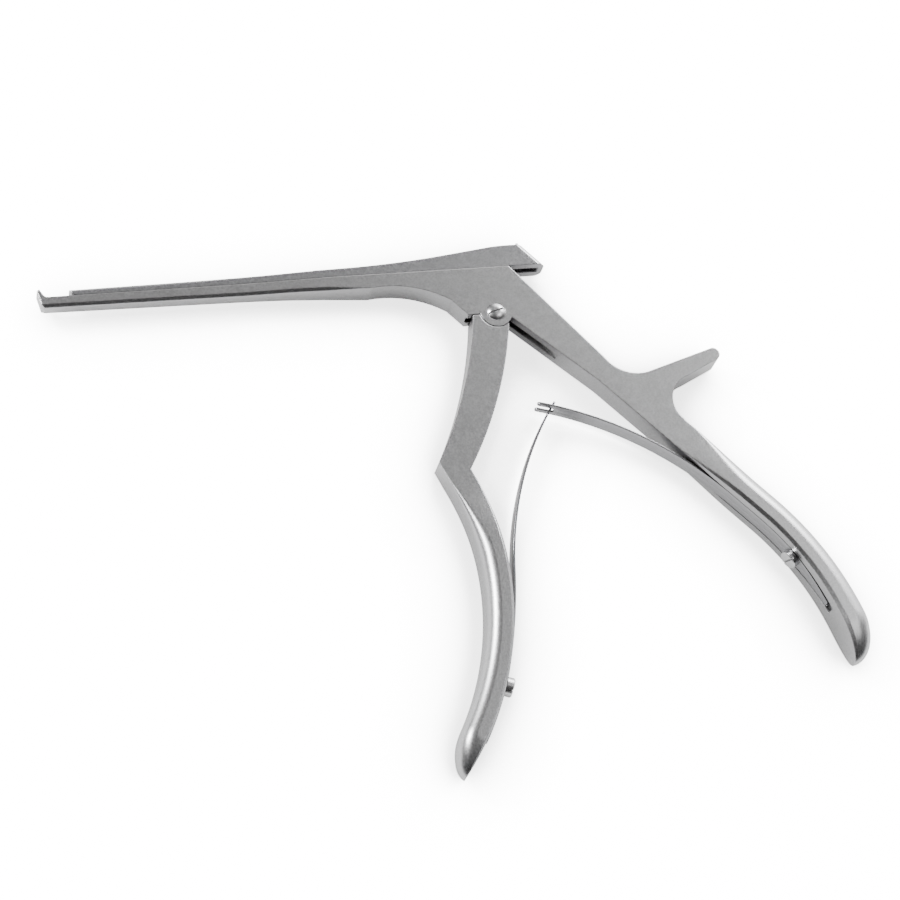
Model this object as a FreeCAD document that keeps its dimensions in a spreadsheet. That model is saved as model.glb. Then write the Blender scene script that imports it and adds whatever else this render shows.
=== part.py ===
import FreeCAD, Part

import math
import os
import re

import Sketcher
from FreeCAD import Vector

# Bone rongeur of the up-cutting punch kind, lying on its side.
# Origin: on the pivot axis, in the plane of the frame's flat underside.
# +X runs from the pivot towards the rear handle, so the jaw lies at -X.
# +Y runs from the pivot up to the sliding plane; both handles hang towards -Y.
# +Z leaves the surface that the instrument lies on and is the pivot axis.
# All lengths are millimetres and all angles are degrees.

DOCUMENT_NAME = "bone_rongeur"
OUTPUT_FOLDER = "parts"

# Driving dimensions: alias in the sheet, value, what it is.
SIZES = [
    # Frame and lower shaft
    ("frame_thickness", 8.0, "thickness of the frame, rear arm and spur"),
    ("rail_height", 15.7, "pivot axis to the sliding plane"),
    ("rail_end", 6.9, "pivot axis to the rear end of the sliding plane"),
    ("shaft_reach", 137.0, "pivot axis to the root of the footplate"),
    ("shaft_tip_width", 5.0, "width of both shafts at the jaw"),
    ("shaft_mid_width", 5.75, "width of both shafts where they start to flare"),
    ("shaft_tip_depth", 3.3, "depth of the lower shaft at the jaw"),
    ("shaft_mid_depth", 3.9, "depth of the lower shaft at mid length"),
    ("shaft_root_depth", 4.8, "depth of the lower shaft where the throat starts"),
    ("shaft_mid_reach", 62.0, "pivot axis to the lower shaft's mid section"),
    ("flare_start", 84.0, "pivot axis to where the shafts start to widen"),
    ("flare_end", 42.0, "pivot axis to where the shafts reach frame thickness"),
    ("flare_lift", 0.05, "how far beyond the frame's faces the flare's curve runs out"),
    ("shaft_edge", 0.9, "chamfer along the lower shaft's bottom edges"),
    ("shaft_edge_fade", 52.0, "pivot axis to where that chamfer starts to fade out"),
    # Jaw
    ("foot_height", 2.7, "height of the footplate above the sliding plane"),
    ("foot_tip_land", 0.9, "length of the footplate's top land"),
    ("foot_fillet", 0.9, "length of the hollow at the footplate's root, along each face"),
    ("foot_heel", 0.9, "bevel under the footplate"),
    ("foot_front", 1.3, "length of the footplate ahead of its root, at the heel"),
    ("jaw_angle", 28.0, "slope of the two meeting jaw faces from the upright"),
    ("jaw_gap", 8.5, "opening between the jaw faces along the slide"),
    ("bite_reserve", 0.1, "gap left between the jaw faces when closed"),
    # Frame outline
    ("throat_start", 38.0, "pivot axis to where the throat curve starts"),
    ("throat_mid_x", 22.5, "throat curve, middle point, distance ahead of the pivot"),
    ("throat_mid_y", 9.5, "throat curve, middle point, height above the pivot"),
    ("throat_end_x", 13.5, "throat curve, lower end, distance ahead of the pivot"),
    ("throat_end_y", 5.0, "throat curve, lower end, height above the pivot"),
    ("lobe_reach", 9.1, "pivot axis to the frame's front lower corner"),
    ("lobe_drop", 0.45, "pivot axis down to the frame's lower edge"),
    ("ear_radius", 5.1, "radius of the ear round the pivot"),
    ("ear_end_angle", 26.6, "angle below +X where the ear meets the rear arm"),
    ("rear_slope", 54.1, "slope of the frame's rear edge"),
    ("rear_slope_length", 41.8, "length of the frame's rear edge"),
    # Rear arm and spur
    ("arm_bend_x", 28.2, "rear arm's underside, bend, behind the pivot"),
    ("arm_bend_y", 26.2, "rear arm's underside, bend, below the pivot"),
    ("arm_slope", 50.3, "slope of the rear arm's inner face after the bend"),
    ("arm_root_length", 27.5, "bend to the start of the rear grip"),
    ("hollow_mid_x", 36.3, "hollow above the spur, middle point, behind the pivot"),
    ("hollow_mid_y", 23.2, "hollow above the spur, middle point, below the pivot"),
    ("spur_root_x", 44.5, "spur's upper edge, root, behind the pivot"),
    ("spur_root_y", 24.4, "spur's upper edge, root, below the pivot"),
    ("spur_angle", 16.3, "slope of the spur's upper edge"),
    ("spur_length", 23.4, "length of the spur's upper edge"),
    ("spur_tip_depth", 4.1, "depth of the spur at its tip"),
    ("spur_tip_bulge", 1.6, "roundness of the spur's tip"),
    ("spur_heel_x", 57.0, "spur's lower edge, root, behind the pivot"),
    ("spur_heel_y", 26.8, "spur's lower edge, root, below the pivot"),
    ("saddle_mid_x", 50.5, "saddle under the spur, middle point, behind the pivot"),
    ("saddle_mid_y", 34.5, "saddle under the spur, middle point, below the pivot"),
    # Grips
    ("grip_width", 13.6, "width of both grips"),
    ("rear_grip_edge", 1.2, "chamfer along the rear grip's inner face"),
    ("front_grip_edge", 0.7, "chamfer along the front grip's inner face"),
    ("rear_grip_round", 5.4, "radius of the rear grip's outer edges"),
    ("front_grip_round", 4.3, "radius of the front grip's outer edges"),
    ("grip_flare_length", 30.0, "length over which a grip widens from the arm"),
    ("grip_tip_length", 14.0, "length of a grip's rounded tip"),
    ("rear_grip_depth", 9.2, "depth of the rear grip from inner face to back"),
    ("rear_straight_length", 36.9, "straight length of the rear grip's inner face"),
    ("rear_grip_radius", 88.0, "bend radius of the rear grip's inner face"),
    ("rear_grip_turn", 35.0, "turn of the rear grip's inner face"),
    ("front_grip_depth", 7.6, "depth of the front grip from inner face to back"),
    ("front_mid_x", 12.0, "front grip's inner face, middle point, ahead of the pivot"),
    ("front_mid_y", 86.0, "front grip's inner face, middle point, below the pivot"),
    ("front_tip_x", 35.4, "front grip's tip, ahead of the pivot"),
    ("front_tip_y", 146.0, "front grip's tip, below the pivot"),
    # Front handle's arm
    ("ear_gap", 0.25, "gap between the ear and the front handle's hollow"),
    ("stop_gap", 0.3, "gap at the opening stop above the front handle's shoulder"),
    ("shoulder_reach", 7.6, "pivot axis to the front edge of the shoulder"),
    ("hollow_end_angle", 55.3, "angle below +X where the hollow round the ear ends"),
    ("heel_land", 0.45, "land between the hollow and the arm's rear edge"),
    ("arm_rear_mid_x", 4.0, "arm's rear edge, middle point, ahead of the pivot"),
    ("arm_rear_mid_y", 27.3, "arm's rear edge, middle point, below the pivot"),
    ("arm_front_mid_x", 14.6, "arm's front edge, middle point, ahead of the pivot"),
    ("arm_front_mid_y", 24.7, "arm's front edge, middle point, below the pivot"),
    ("elbow_in_x", 17.4, "inner elbow, ahead of the pivot"),
    ("elbow_in_y", 52.0, "inner elbow, below the pivot"),
    ("elbow_out_x", 26.9, "outer elbow, ahead of the pivot"),
    ("elbow_out_y", 49.2, "outer elbow, below the pivot"),
    # Tongue, finger and their slot
    ("slot_width", 2.8, "width of the central slot in the frame and the slide"),
    ("tongue_play", 0.05, "gap on each side of the tongue in its slot"),
    ("finger_radius", 19.5, "pivot axis to the centre of the finger's round end"),
    ("finger_end", 1.9, "radius of the finger's round end"),
    ("finger_neck", 1.0, "half width of the finger's neck"),
    ("finger_neck_length", 5.5, "length of the finger's neck below its end's centre"),
    ("finger_play", 0.05, "gap between the finger and the slide's pocket"),
    ("hub_half", 5.1, "half width of the tongue at the pivot"),
    ("hub_rise", 1.4, "height above the pivot where the finger widens to the hub"),
    ("tongue_root", 7.0, "how far the tongue's body reaches below the pivot"),
    ("slot_half", 5.5, "half length of the frame's slot at the sliding plane"),
    ("slot_flare", 0.4, "how far the slot's front end lies ahead of the frame's corner"),
    ("slot_front_set", 2.0, "how far it lies behind that corner at the slope's middle"),
    ("slot_front_y", 9.0, "pivot axis up to where the slot's front end starts to slope"),
    ("slot_front_mid", 3.0, "pivot axis up to the middle of that slope"),
    ("slot_rear_x", 6.3, "slot's rear end at its bend, behind the pivot"),
    ("slot_rear_y", 3.5, "slot's rear end at its bend, above the pivot"),
    ("slot_runout_y", 15.0, "end of the slot's run-out in the rear arm, below the pivot"),
    ("slot_runout_x", 17.4, "end of the slot's run-out in the rear arm, behind the pivot"),
    # Sliding rail
    ("rail_neck", 2.4, "width of the rail's neck"),
    ("rail_head", 4.2, "width of the rail's head"),
    ("rail_neck_height", 0.8, "height of the rail's neck"),
    ("rail_head_height", 0.9, "thickness of the rail's head"),
    ("rail_start", 8.5, "pivot axis to the rear end of the rail"),
    ("rail_length", 40.0, "length of the rail"),
    ("lug_length", 6.0, "length of each wide lug of the rail's head"),
    ("rail_play", 0.08, "gap between the rail and the slide's channel"),
    ("entry_shift", 8.4, "distance of the slide's entry windows ahead of the lugs"),
    # Upper slide
    ("slide_tip_height", 2.1, "height of the slide at the jaw"),
    ("slide_waist_reach", 55.0, "pivot axis to the slide's waist"),
    ("slide_waist_height", 2.65, "height of the slide at its waist"),
    ("slide_sweep_x", 32.0, "slide's upward sweep, middle point, ahead of the pivot"),
    ("slide_sweep_height", 3.3, "slide's height at the middle of the sweep"),
    ("slide_shoulder_x", 12.0, "slide's sweep, end, ahead of the pivot"),
    ("slide_shoulder_height", 5.25, "slide's height at the end of the sweep"),
    ("slide_crown_x", 2.0, "start of the slide's crown, behind the pivot"),
    ("slide_crown_height", 7.05, "slide's height at the start of the crown"),
    ("slide_top_x", 7.2, "middle of the slide's crown, behind the pivot"),
    ("slide_top_height", 7.35, "slide's height at the middle of the crown"),
    ("slide_corner_x", 12.5, "start of the slide's rear corner, behind the pivot"),
    ("slide_corner_height", 7.2, "slide's height at the start of the rear corner"),
    ("slide_corner_run", 1.5, "length of the slide's rear top corner"),
    ("slide_corner_drop", 1.1, "drop of the slide's rear top corner"),
    ("slide_end", 18.9, "pivot axis to the slide's rear end at the sliding plane"),
    ("slide_end_round", 2.5, "rounding of the slide's rear end seen from above"),
    ("rear_slot_depth", 3.0, "depth of the slot under the slide's rear block"),
    ("rear_slot_wall", 1.6, "wall between that slot and the slide's rear end"),
    ("pocket_wall", 1.2, "wall between the finger's pocket and that slot"),
    ("pocket_headroom", 0.25, "gap above the finger in its pocket"),
    ("cup_length", 4.5, "length of the bite cup under the slide's front"),
    ("cup_width", 3.2, "width of the bite cup"),
    ("cup_depth", 1.2, "depth of the bite cup"),
    ("pin_radius", 0.5, "radius of the slide's stop pin"),
    ("pin_length", 4.0, "length of the slide's stop pin"),
    ("pin_stand", 1.7, "how far the stop pin stands out of the slide's crown"),
    ("pin_set", 0.3, "stop pin's distance ahead of the slide's rear corner"),
    ("slide_edge", 0.9, "rounding of the slide's top edges along the shaft"),
    ("slide_edge_end", 0.2, "the same rounding where it fades out at the slide's waist"),
    ("slide_edge_fade", 95.0, "pivot axis to where that rounding starts to fade out"),
    # Screws
    ("pivot_shank", 1.8, "radius of the pivot screw's smooth shank"),
    ("pivot_thread", 1.4, "radius of the pivot screw's threaded end"),
    ("pivot_head", 2.85, "radius of the pivot screw's head"),
    ("pivot_slot_angle", 16.0, "angle of the pivot screw's driver slot"),
    ("pivot_head_sink", 0.9, "depth of the head's counterbore"),
    ("pivot_head_stand", 0.8, "height of the domed head above the frame"),
    ("pivot_bore_play", 0.04, "gap round the pivot screw's shank in the tongue"),
    ("screw_fit", 0.02, "gap round a screw in its own seat"),
    ("screw_head_gap", 0.04, "gap between a spring screw's head and its leaf"),
    ("driver_slot", 0.6, "width of a screw's driver slot"),
    ("driver_depth", 0.7, "depth of a screw's driver slot"),
    ("spring_screw_head", 2.9, "radius of a spring screw's head"),
    ("spring_screw_height", 2.2, "height of a spring screw's head"),
    ("spring_screw_shank", 1.2, "radius of a spring screw's shank"),
    ("spring_screw_length", 5.0, "length of a spring screw's shank"),
    # Leaf springs
    ("leaf_thickness", 0.7, "thickness of both leaf springs"),
    ("leaf_width", 5.6, "width of both leaf springs"),
    ("leaf_end_width", 2.2, "width of both leaf springs at their lower ends"),
    ("leaf_taper", 20.0, "length over which a leaf narrows to its lower end"),
    ("leaf_groove_width", 10.4, "width of the groove in the rear grip's inner face"),
    ("leaf_groove_corner", 3.0, "radius of the groove's lower corners"),
    ("leaf_groove_end", 2.0, "length of the groove beyond the rear leaf's lower end"),
    ("leaf_groove_start", 50.0, "groove's upper end to the rear leaf's lower end"),
    ("leaf_channel", 14.0, "length of the narrow channel that leads into the groove"),
    ("leaf_groove_depth", 1.0, "depth of the groove in the rear grip's inner face"),
    ("leaf_bed_gap", 0.03, "gap between a leaf and the bed it is screwed to"),
    ("leaf_land_depth", 0.15, "depth of the flat that the front leaf is seated on"),
    ("leaf_play", 0.2, "gap between a leaf and each side of its channel"),
    ("rear_leaf_end", 20.0, "rear leaf's lower end to the rear grip's tip"),
    ("rear_leaf_seat", 43.5, "length of the rear leaf seated in the groove"),
    ("rear_leaf_radius", 113.4, "bend radius of the rear leaf's free length"),
    ("rear_leaf_turn", 34.2, "turn of the rear leaf's free length"),
    ("rear_screw_place", 38.2, "rear spring screw to the rear grip's tip"),
    ("front_leaf_end", 13.0, "front leaf's lower end to the front grip's tip"),
    ("front_leaf_seat", 24.5, "length of the front leaf seated on the grip"),
    ("front_leaf_low_radius", 168.9, "bend radius of the front leaf's lower free length"),
    ("front_leaf_low_turn", 10.2, "turn of the front leaf's lower free length"),
    ("front_leaf_high_radius", 112.1, "bend radius of the front leaf's upper free length"),
    ("front_leaf_high_turn", 30.5, "turn of the front leaf's upper free length"),
    ("front_screw_place", 31.5, "front spring screw to the front grip's tip"),
    ("fork_depth", 5.8, "depth of the notch in the rear leaf's fork"),
    ("fork_gap", 2.1, "width of the notch in the rear leaf's fork"),
    ("tongue_leaf_width", 1.7, "width of the tongue at the front leaf's tip"),
    ("tongue_leaf_length", 6.0, "length of the tongue at the front leaf's tip"),
]

doc = FreeCAD.newDocument(DOCUMENT_NAME)
sheet = doc.addObject("Spreadsheet::Sheet", "Sizes")
for line, (alias, number, meaning) in enumerate(SIZES, start=1):
    sheet.set(f"A{line}", alias)
    sheet.set(f"B{line}", str(number))
    sheet.set(f"C{line}", meaning)
    sheet.setAlias(f"B{line}", alias)
doc.recompute()
ALIASES = {alias for alias, number, meaning in SIZES}


def size(alias):
    """The sheet's value of one driving dimension."""
    return float(sheet.get(alias))


def bound(text):
    """The same expression with every driving dimension read from the sheet."""
    return re.sub(r"[a-z_]+", lambda word: f"Sizes.{word[0]}" if word[0] in ALIASES else word[0], text)


def value(text):
    """What an expression of driving dimensions comes to now."""
    return float(sheet.evalExpression(bound(text)))


def new_body(label):
    """An empty body whose label is its piece's name."""
    body = doc.addObject("PartDesign::Body", label)
    body.Label = label
    return body


def new_sketch(body, name, plane, lift="0", along="0"):
    """A sketch on one of the body's origin planes, lifted off it and shifted along its x."""
    sketch = body.newObject("Sketcher::SketchObject", name)
    support = [each for each in body.Origin.OriginFeatures if each.Role == plane][0]
    sketch.AttachmentSupport = [(support, "")]
    sketch.MapMode = "FlatFace"
    sketch.setExpression("AttachmentOffset.Base.z", bound(lift))
    sketch.setExpression("AttachmentOffset.Base.x", bound(along))
    return sketch


def hold(sketch, kind, element, place, text):
    """Hold one coordinate of a sketch point at an expression of the driving dimensions."""
    index = sketch.addConstraint(Sketcher.Constraint(kind, -1, 1, element, place, value(text)))
    sketch.setExpression(f"Constraints[{index}]", bound(text))


def arc_through(start, middle, end):
    """An arc through three points, kept turning left, and whether it does so from the start."""
    centre = Part.Arc(start, middle, end).toShape().Curve.Center
    leftward = (middle - start).cross(end - middle).z > 0
    first, last = (start, end) if leftward else (end, start)
    first_angle = math.atan2(first.y - centre.y, first.x - centre.x)
    last_angle = math.atan2(last.y - centre.y, last.x - centre.x)
    if last_angle < first_angle:
        last_angle += 2 * math.pi
    circle = Part.Circle(centre, Vector(0, 0, 1), (first - centre).Length)
    return Part.ArcOfCircle(circle, first_angle, last_angle), leftward


def draw_outline(sketch, corners):
    """Draw a closed outline.

    A corner is (x, y), joined to the next by a line, or (x, y, mid x, mid y), joined to
    the next by an arc through that middle point. Every coordinate is an expression.
    """
    places = [Vector(value(corner[0]), value(corner[1]), 0) for corner in corners]
    ends = []
    for number, corner in enumerate(corners):
        start = places[number]
        end = places[(number + 1) % len(corners)]
        if len(corner) == 2:
            element = sketch.addGeometry(Part.LineSegment(start, end))
            ends.append((element, 1, 2))
            continue
        middle = Vector(value(corner[2]), value(corner[3]), 0)
        arc, leftward = arc_through(start, middle, end)
        element = sketch.addGeometry(arc)
        ends.append((element, 1, 2) if leftward else (element, 2, 1))
        point = sketch.addGeometry(Part.Point(middle), True)
        hold(sketch, "DistanceX", point, 1, corner[2])
        hold(sketch, "DistanceY", point, 1, corner[3])
        sketch.addConstraint(Sketcher.Constraint("PointOnObject", point, 1, element))
    for number, corner in enumerate(corners):
        element, start, end = ends[number]
        after, after_start, after_end = ends[(number + 1) % len(corners)]
        sketch.addConstraint(Sketcher.Constraint("Coincident", element, end, after, after_start))
        hold(sketch, "DistanceX", element, start, corner[0])
        hold(sketch, "DistanceY", element, start, corner[1])
    return sketch


def draw_circle(sketch, across, upward, radius):
    """Draw a circle from expressions of its centre and radius."""
    centre = Vector(value(across), value(upward), 0)
    element = sketch.addGeometry(Part.Circle(centre, Vector(0, 0, 1), value(radius)))
    hold(sketch, "DistanceX", element, 3, across)
    hold(sketch, "DistanceY", element, 3, upward)
    index = sketch.addConstraint(Sketcher.Constraint("Radius", element, value(radius)))
    sketch.setExpression(f"Constraints[{index}]", bound(radius))
    return sketch


def extrude(body, kind, sketch, name, length, both_ways=False, flipped=False):
    """Add a Pad or a Pocket of a sketch, with its length bound to the sheet."""
    feature = body.newObject(f"PartDesign::{kind}", name)
    feature.Profile = sketch
    feature.setExpression("Length", bound(length))
    feature.SideType = "Symmetric" if both_ways else "One side"
    feature.Reversed = flipped
    sketch.Visibility = False
    body.Tip = feature
    doc.recompute()
    return feature


def box_corners(left, bottom, right, top):
    """The four corners of an upright rectangle."""
    return [(left, bottom), (right, bottom), (right, top), (left, top)]


MIDDLE = "frame_thickness / 2"
ALL_THROUGH = "4 * grip_width"


# Face paths: the inner face of each grip, followed down from the arm to the tip

def bearing(angle):
    """Unit vector in the side plane at an angle in degrees."""
    return Vector(math.cos(math.radians(angle)), math.sin(math.radians(angle)), 0)


class FacePath:
    """A straight stretch and a tangent arc; the handle lies on one side of it."""

    def __init__(self, start, heading, straight, radius, turn, handle_side):
        self.start = start
        self.heading = heading
        self.straight = straight
        self.radius = radius
        self.turn = turn
        self.handle_side = handle_side

    @property
    def length(self):
        """Length from the start to the grip's tip."""
        return self.straight + self.radius * math.radians(self.turn)

    def heading_at(self, run):
        """Direction of travel after a run along the path."""
        turned = max(0.0, run - self.straight) / self.radius
        return self.heading - math.degrees(turned)

    def inward(self, run):
        """Direction from the face into the handle."""
        return bearing(self.heading_at(run) + self.handle_side * 90)

    def point(self, run, depth=0.0):
        """Place on the face, or that far inside the handle."""
        place = self.start + bearing(self.heading) * min(run, self.straight)
        if run > self.straight:
            turned = math.degrees((run - self.straight) / self.radius)
            centre = place + bearing(self.heading - 90) * self.radius
            place = centre + bearing(self.heading + 90 - turned) * self.radius
        return place + self.inward(run) * depth


def path_from_three_points(start, middle, end, handle_side):
    """A face path that is one arc through three points, followed clockwise."""
    arc = Part.Arc(start, middle, end).toShape()
    circle = arc.Curve
    outward = (start - circle.Center).normalize()
    heading = math.degrees(math.atan2(outward.y, outward.x)) - 90
    turn = math.degrees(arc.Length / circle.Radius)
    return FacePath(start, heading, 0.0, circle.Radius, turn, handle_side)


rear_path = FacePath(
    Vector(size("arm_bend_x"), -size("arm_bend_y"), 0) + bearing(-size("arm_slope")) * size("arm_root_length"),
    -size("arm_slope"),
    size("rear_straight_length"),
    size("rear_grip_radius"),
    size("rear_grip_turn"),
    handle_side=1,
)
front_path = path_from_three_points(
    Vector(-size("elbow_in_x"), -size("elbow_in_y"), 0),
    Vector(-size("front_mid_x"), -size("front_mid_y"), 0),
    Vector(-size("front_tip_x"), -size("front_tip_y"), 0),
    handle_side=-1,
)


def grip_section(inner, outward, depth, width, edge, rounding):
    """One cross-section of a grip: flat inner face, chamfers, sides, rounded back."""
    middle = size("frame_thickness") / 2
    half = width / 2

    def at(across, height):
        return inner + outward * across + Vector(0, 0, middle + height)

    corner = rounding * (1 - math.sqrt(0.5))
    sides = [
        Part.LineSegment(at(0, -(half - edge)), at(0, half - edge)),
        Part.LineSegment(at(0, half - edge), at(edge, half)),
        Part.LineSegment(at(edge, half), at(depth - rounding, half)),
        Part.Arc(at(depth - rounding, half), at(depth - corner, half - corner), at(depth, half - rounding)),
        Part.LineSegment(at(depth, half - rounding), at(depth, rounding - half)),
        Part.Arc(at(depth, rounding - half), at(depth - corner, corner - half), at(depth - rounding, -half)),
        Part.LineSegment(at(depth - rounding, -half), at(edge, -half)),
        Part.LineSegment(at(edge, -half), at(0, -(half - edge))),
    ]
    return Part.Wire([side.toShape() for side in sides])


GRIP_STATIONS = 6
TIP_ANGLES = (0, 22, 42, 58, 71, 81, 86.5)
SHARP = 0.05
ROUND_SHARE = 0.46


def smooth(fraction):
    """Ease from 0 to 1 with no kink at either end."""
    fraction = min(max(fraction, 0.0), 1.0)
    return fraction * fraction * (3 - 2 * fraction)


def grip_loft(path, root_depth, depth, full_edge, full_round, root_inward):
    """Loft a grip from the flat arm's section to its tip, which closes like the end of an ellipse."""
    tip_length = size("grip_tip_length")
    body_end = path.length - tip_length
    stations = [(body_end * number / GRIP_STATIONS, 1.0) for number in range(1, GRIP_STATIONS)]
    for angle in TIP_ANGLES:
        turned = math.radians(angle)
        stations.append((body_end + tip_length * math.sin(turned), math.cos(turned)))
    thin = size("frame_thickness")
    sections = [grip_section(path.point(0), root_inward, root_depth, thin, SHARP, SHARP)]
    for run, tip in stations:
        grown = smooth(run / size("grip_flare_length"))
        here = (root_depth + (depth - root_depth) * grown) * tip
        wide = (thin + (size("grip_width") - thin) * grown) * tip
        edge = max(full_edge * grown * tip, SHARP)
        rounding = max(min(full_round * grown, here - 2 * edge, ROUND_SHARE * wide), SHARP)
        sections.append(grip_section(path.point(run), path.inward(run), here, wide, edge, rounding))
    return Part.makeLoft(sections, True, False)


def leaf_seat(path, end, seat, depth):
    """The middle line of a leaf's seated length, from its lower end upwards."""
    low = path.length - end
    high = low - seat
    edges = []
    bend = max(high, path.straight)
    if low > bend:
        middle = (low + bend) / 2
        edges.append(Part.Arc(path.point(low, depth), path.point(middle, depth), path.point(bend, depth)))
    if high < path.straight:
        edges.append(Part.LineSegment(path.point(bend, depth), path.point(high, depth)))
    return edges, path.point(high, depth), path.heading_at(high) + 180


def bend(start, heading, radius, turn):
    """A tangent arc that turns left where turn is positive, and where it ends."""
    side = 90 if turn > 0 else -90
    centre = start + bearing(heading + side) * radius
    middle = centre + bearing(heading - side + turn / 2) * radius
    end = centre + bearing(heading - side + turn) * radius
    return Part.Arc(start, middle, end), end, heading + turn


def thicken(edges, width):
    """A leaf: its middle line thickened in the side plane and given its width."""
    half = size("leaf_thickness") / 2
    line = Part.Wire([edge.toShape() for edge in edges])
    rails = []
    for side in (half, -half):
        rail = []
        for edge in line.OrderedEdges:
            first, last = edge.FirstParameter, edge.LastParameter
            if edge.Orientation == "Reversed":
                first, last = last, first
            points = []
            for parameter in (first, (first + last) / 2, last):
                along = edge.tangentAt(parameter)
                if edge.Orientation == "Reversed":
                    along = along * -1
                points.append(edge.valueAt(parameter) + Vector(-along.y, along.x, 0) * side)
            if isinstance(edge.Curve, Part.Line):
                rail.append(Part.LineSegment(points[0], points[2]))
            else:
                rail.append(Part.Arc(*points))
        rails.append(rail)
    left, right = rails
    caps = [
        Part.LineSegment(left[0].StartPoint, right[0].StartPoint),
        Part.LineSegment(left[-1].EndPoint, right[-1].EndPoint),
    ]
    shapes = [edge.toShape() for edge in left + right + caps]
    outline = Part.Wire(Part.__sortEdges__(shapes))
    leaf = Part.Face(outline).extrude(Vector(0, 0, width))
    leaf.translate(Vector(0, 0, (size("frame_thickness") - width) / 2))
    return leaf


# Piece: body, made from the frame, the rear grip, the rail and the cuts

SLIDE_FRONT = "shaft_reach - jaw_gap"
CHEEK = "(frame_thickness - slot_width) / 2"
GRIP_ROOT_X = "arm_bend_x + arm_root_length * cos(arm_slope)"
GRIP_ROOT_Y = "arm_bend_y + arm_root_length * sin(arm_slope)"
SPUR_TIP_X = "spur_root_x + spur_length * cos(spur_angle)"
SPUR_TIP_Y = "spur_root_y - spur_length * sin(spur_angle)"

FRAME_CORNERS = [
    (
        "-(shaft_reach - foot_fillet)",
        "rail_height",
        "-(shaft_reach - foot_fillet * (1 - sin(45 + jaw_angle / 2)))",
        "rail_height + foot_fillet * (1 - sin(45 + jaw_angle / 2)) * tan(45 + jaw_angle / 2)",
    ),
    ("-(shaft_reach + foot_fillet * sin(jaw_angle))", "rail_height + foot_fillet * cos(jaw_angle)"),
    ("-(shaft_reach + foot_height * tan(jaw_angle))", "rail_height + foot_height"),
    (
        "-(shaft_reach + foot_height * tan(jaw_angle) + foot_tip_land * cos(jaw_angle))",
        "rail_height + foot_height - foot_tip_land * sin(jaw_angle)",
    ),
    ("-(shaft_reach + foot_front)", "rail_height - shaft_tip_depth + foot_heel"),
    ("-(shaft_reach + foot_front - foot_heel)", "rail_height - shaft_tip_depth"),
    ("-shaft_mid_reach", "rail_height - shaft_mid_depth"),
    ("-throat_start", "rail_height - shaft_root_depth", "-throat_mid_x", "throat_mid_y"),
    ("-throat_end_x", "throat_end_y"),
    ("-lobe_reach", "-lobe_drop"),
    ("-sqrt(ear_radius ^ 2 - lobe_drop ^ 2)", "-lobe_drop", "0", "-ear_radius"),
    ("ear_radius * cos(ear_end_angle)", "-ear_radius * sin(ear_end_angle)"),
    ("arm_bend_x", "-arm_bend_y"),
    (GRIP_ROOT_X, f"-({GRIP_ROOT_Y})"),
    (
        f"{GRIP_ROOT_X} + rear_grip_depth * sin(arm_slope)",
        f"-({GRIP_ROOT_Y}) + rear_grip_depth * cos(arm_slope)",
        "saddle_mid_x",
        "-saddle_mid_y",
    ),
    ("spur_heel_x", "-spur_heel_y"),
    (
        f"{SPUR_TIP_X} + spur_tip_depth * sin(spur_angle)",
        f"-({SPUR_TIP_Y}) - spur_tip_depth * cos(spur_angle)",
        f"{SPUR_TIP_X} + spur_tip_depth / 2 * sin(spur_angle) + spur_tip_bulge * cos(spur_angle)",
        f"-({SPUR_TIP_Y}) - spur_tip_depth / 2 * cos(spur_angle) + spur_tip_bulge * sin(spur_angle)",
    ),
    (SPUR_TIP_X, f"-({SPUR_TIP_Y})"),
    ("spur_root_x", "-spur_root_y", "hollow_mid_x", "-hollow_mid_y"),
    (
        "rail_end + rear_slope_length * cos(rear_slope)",
        "rail_height - rear_slope_length * sin(rear_slope)",
    ),
    ("rail_end", "rail_height"),
]


FLARE_RISE = "((frame_thickness - shaft_mid_width) / 2 + flare_lift)"


def relieve_sides(body, name):
    """Narrow a shaft on both sides: slim at the jaw, swelling in an S to the frame's thickness."""
    far_left = "-(shaft_reach + 4 * foot_height)"
    for side, sign, face in (("Near", "+", "frame_thickness"), ("Far", "-", "0")):
        beyond = "2 * frame_thickness" if sign == "+" else "-frame_thickness"
        corners = [
            (far_left, f"{MIDDLE} {sign} shaft_tip_width / 2"),
            (
                "-flare_start",
                f"{MIDDLE} {sign} shaft_mid_width / 2",
                "-(3 * flare_start + flare_end) / 4",
                f"{MIDDLE} {sign} (shaft_mid_width / 2 + {FLARE_RISE} / 8)",
            ),
            (
                "-(flare_start + flare_end) / 2",
                f"{MIDDLE} {sign} (shaft_mid_width + {FLARE_RISE}) / 2",
                "-(flare_start + 3 * flare_end) / 4",
                f"{MIDDLE} {sign} (shaft_mid_width / 2 + {FLARE_RISE} * 7 / 8)",
            ),
            ("-flare_end", f"{face} {sign} flare_lift"),
            ("-flare_end", beyond),
            (far_left, beyond),
        ]
        sketch = draw_outline(new_sketch(body, f"{name}{side}Relief", "XZ_Plane"), corners)
        extrude(body, "Pocket", sketch, f"{name}{side}Side", ALL_THROUGH, both_ways=True)


frame = new_body("frame_forging")
outline = draw_outline(new_sketch(frame, "FrameOutline", "XY_Plane"), FRAME_CORNERS)
extrude(frame, "Pad", outline, "FramePlate", "frame_thickness")
relieve_sides(frame, "Shaft")

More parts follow.
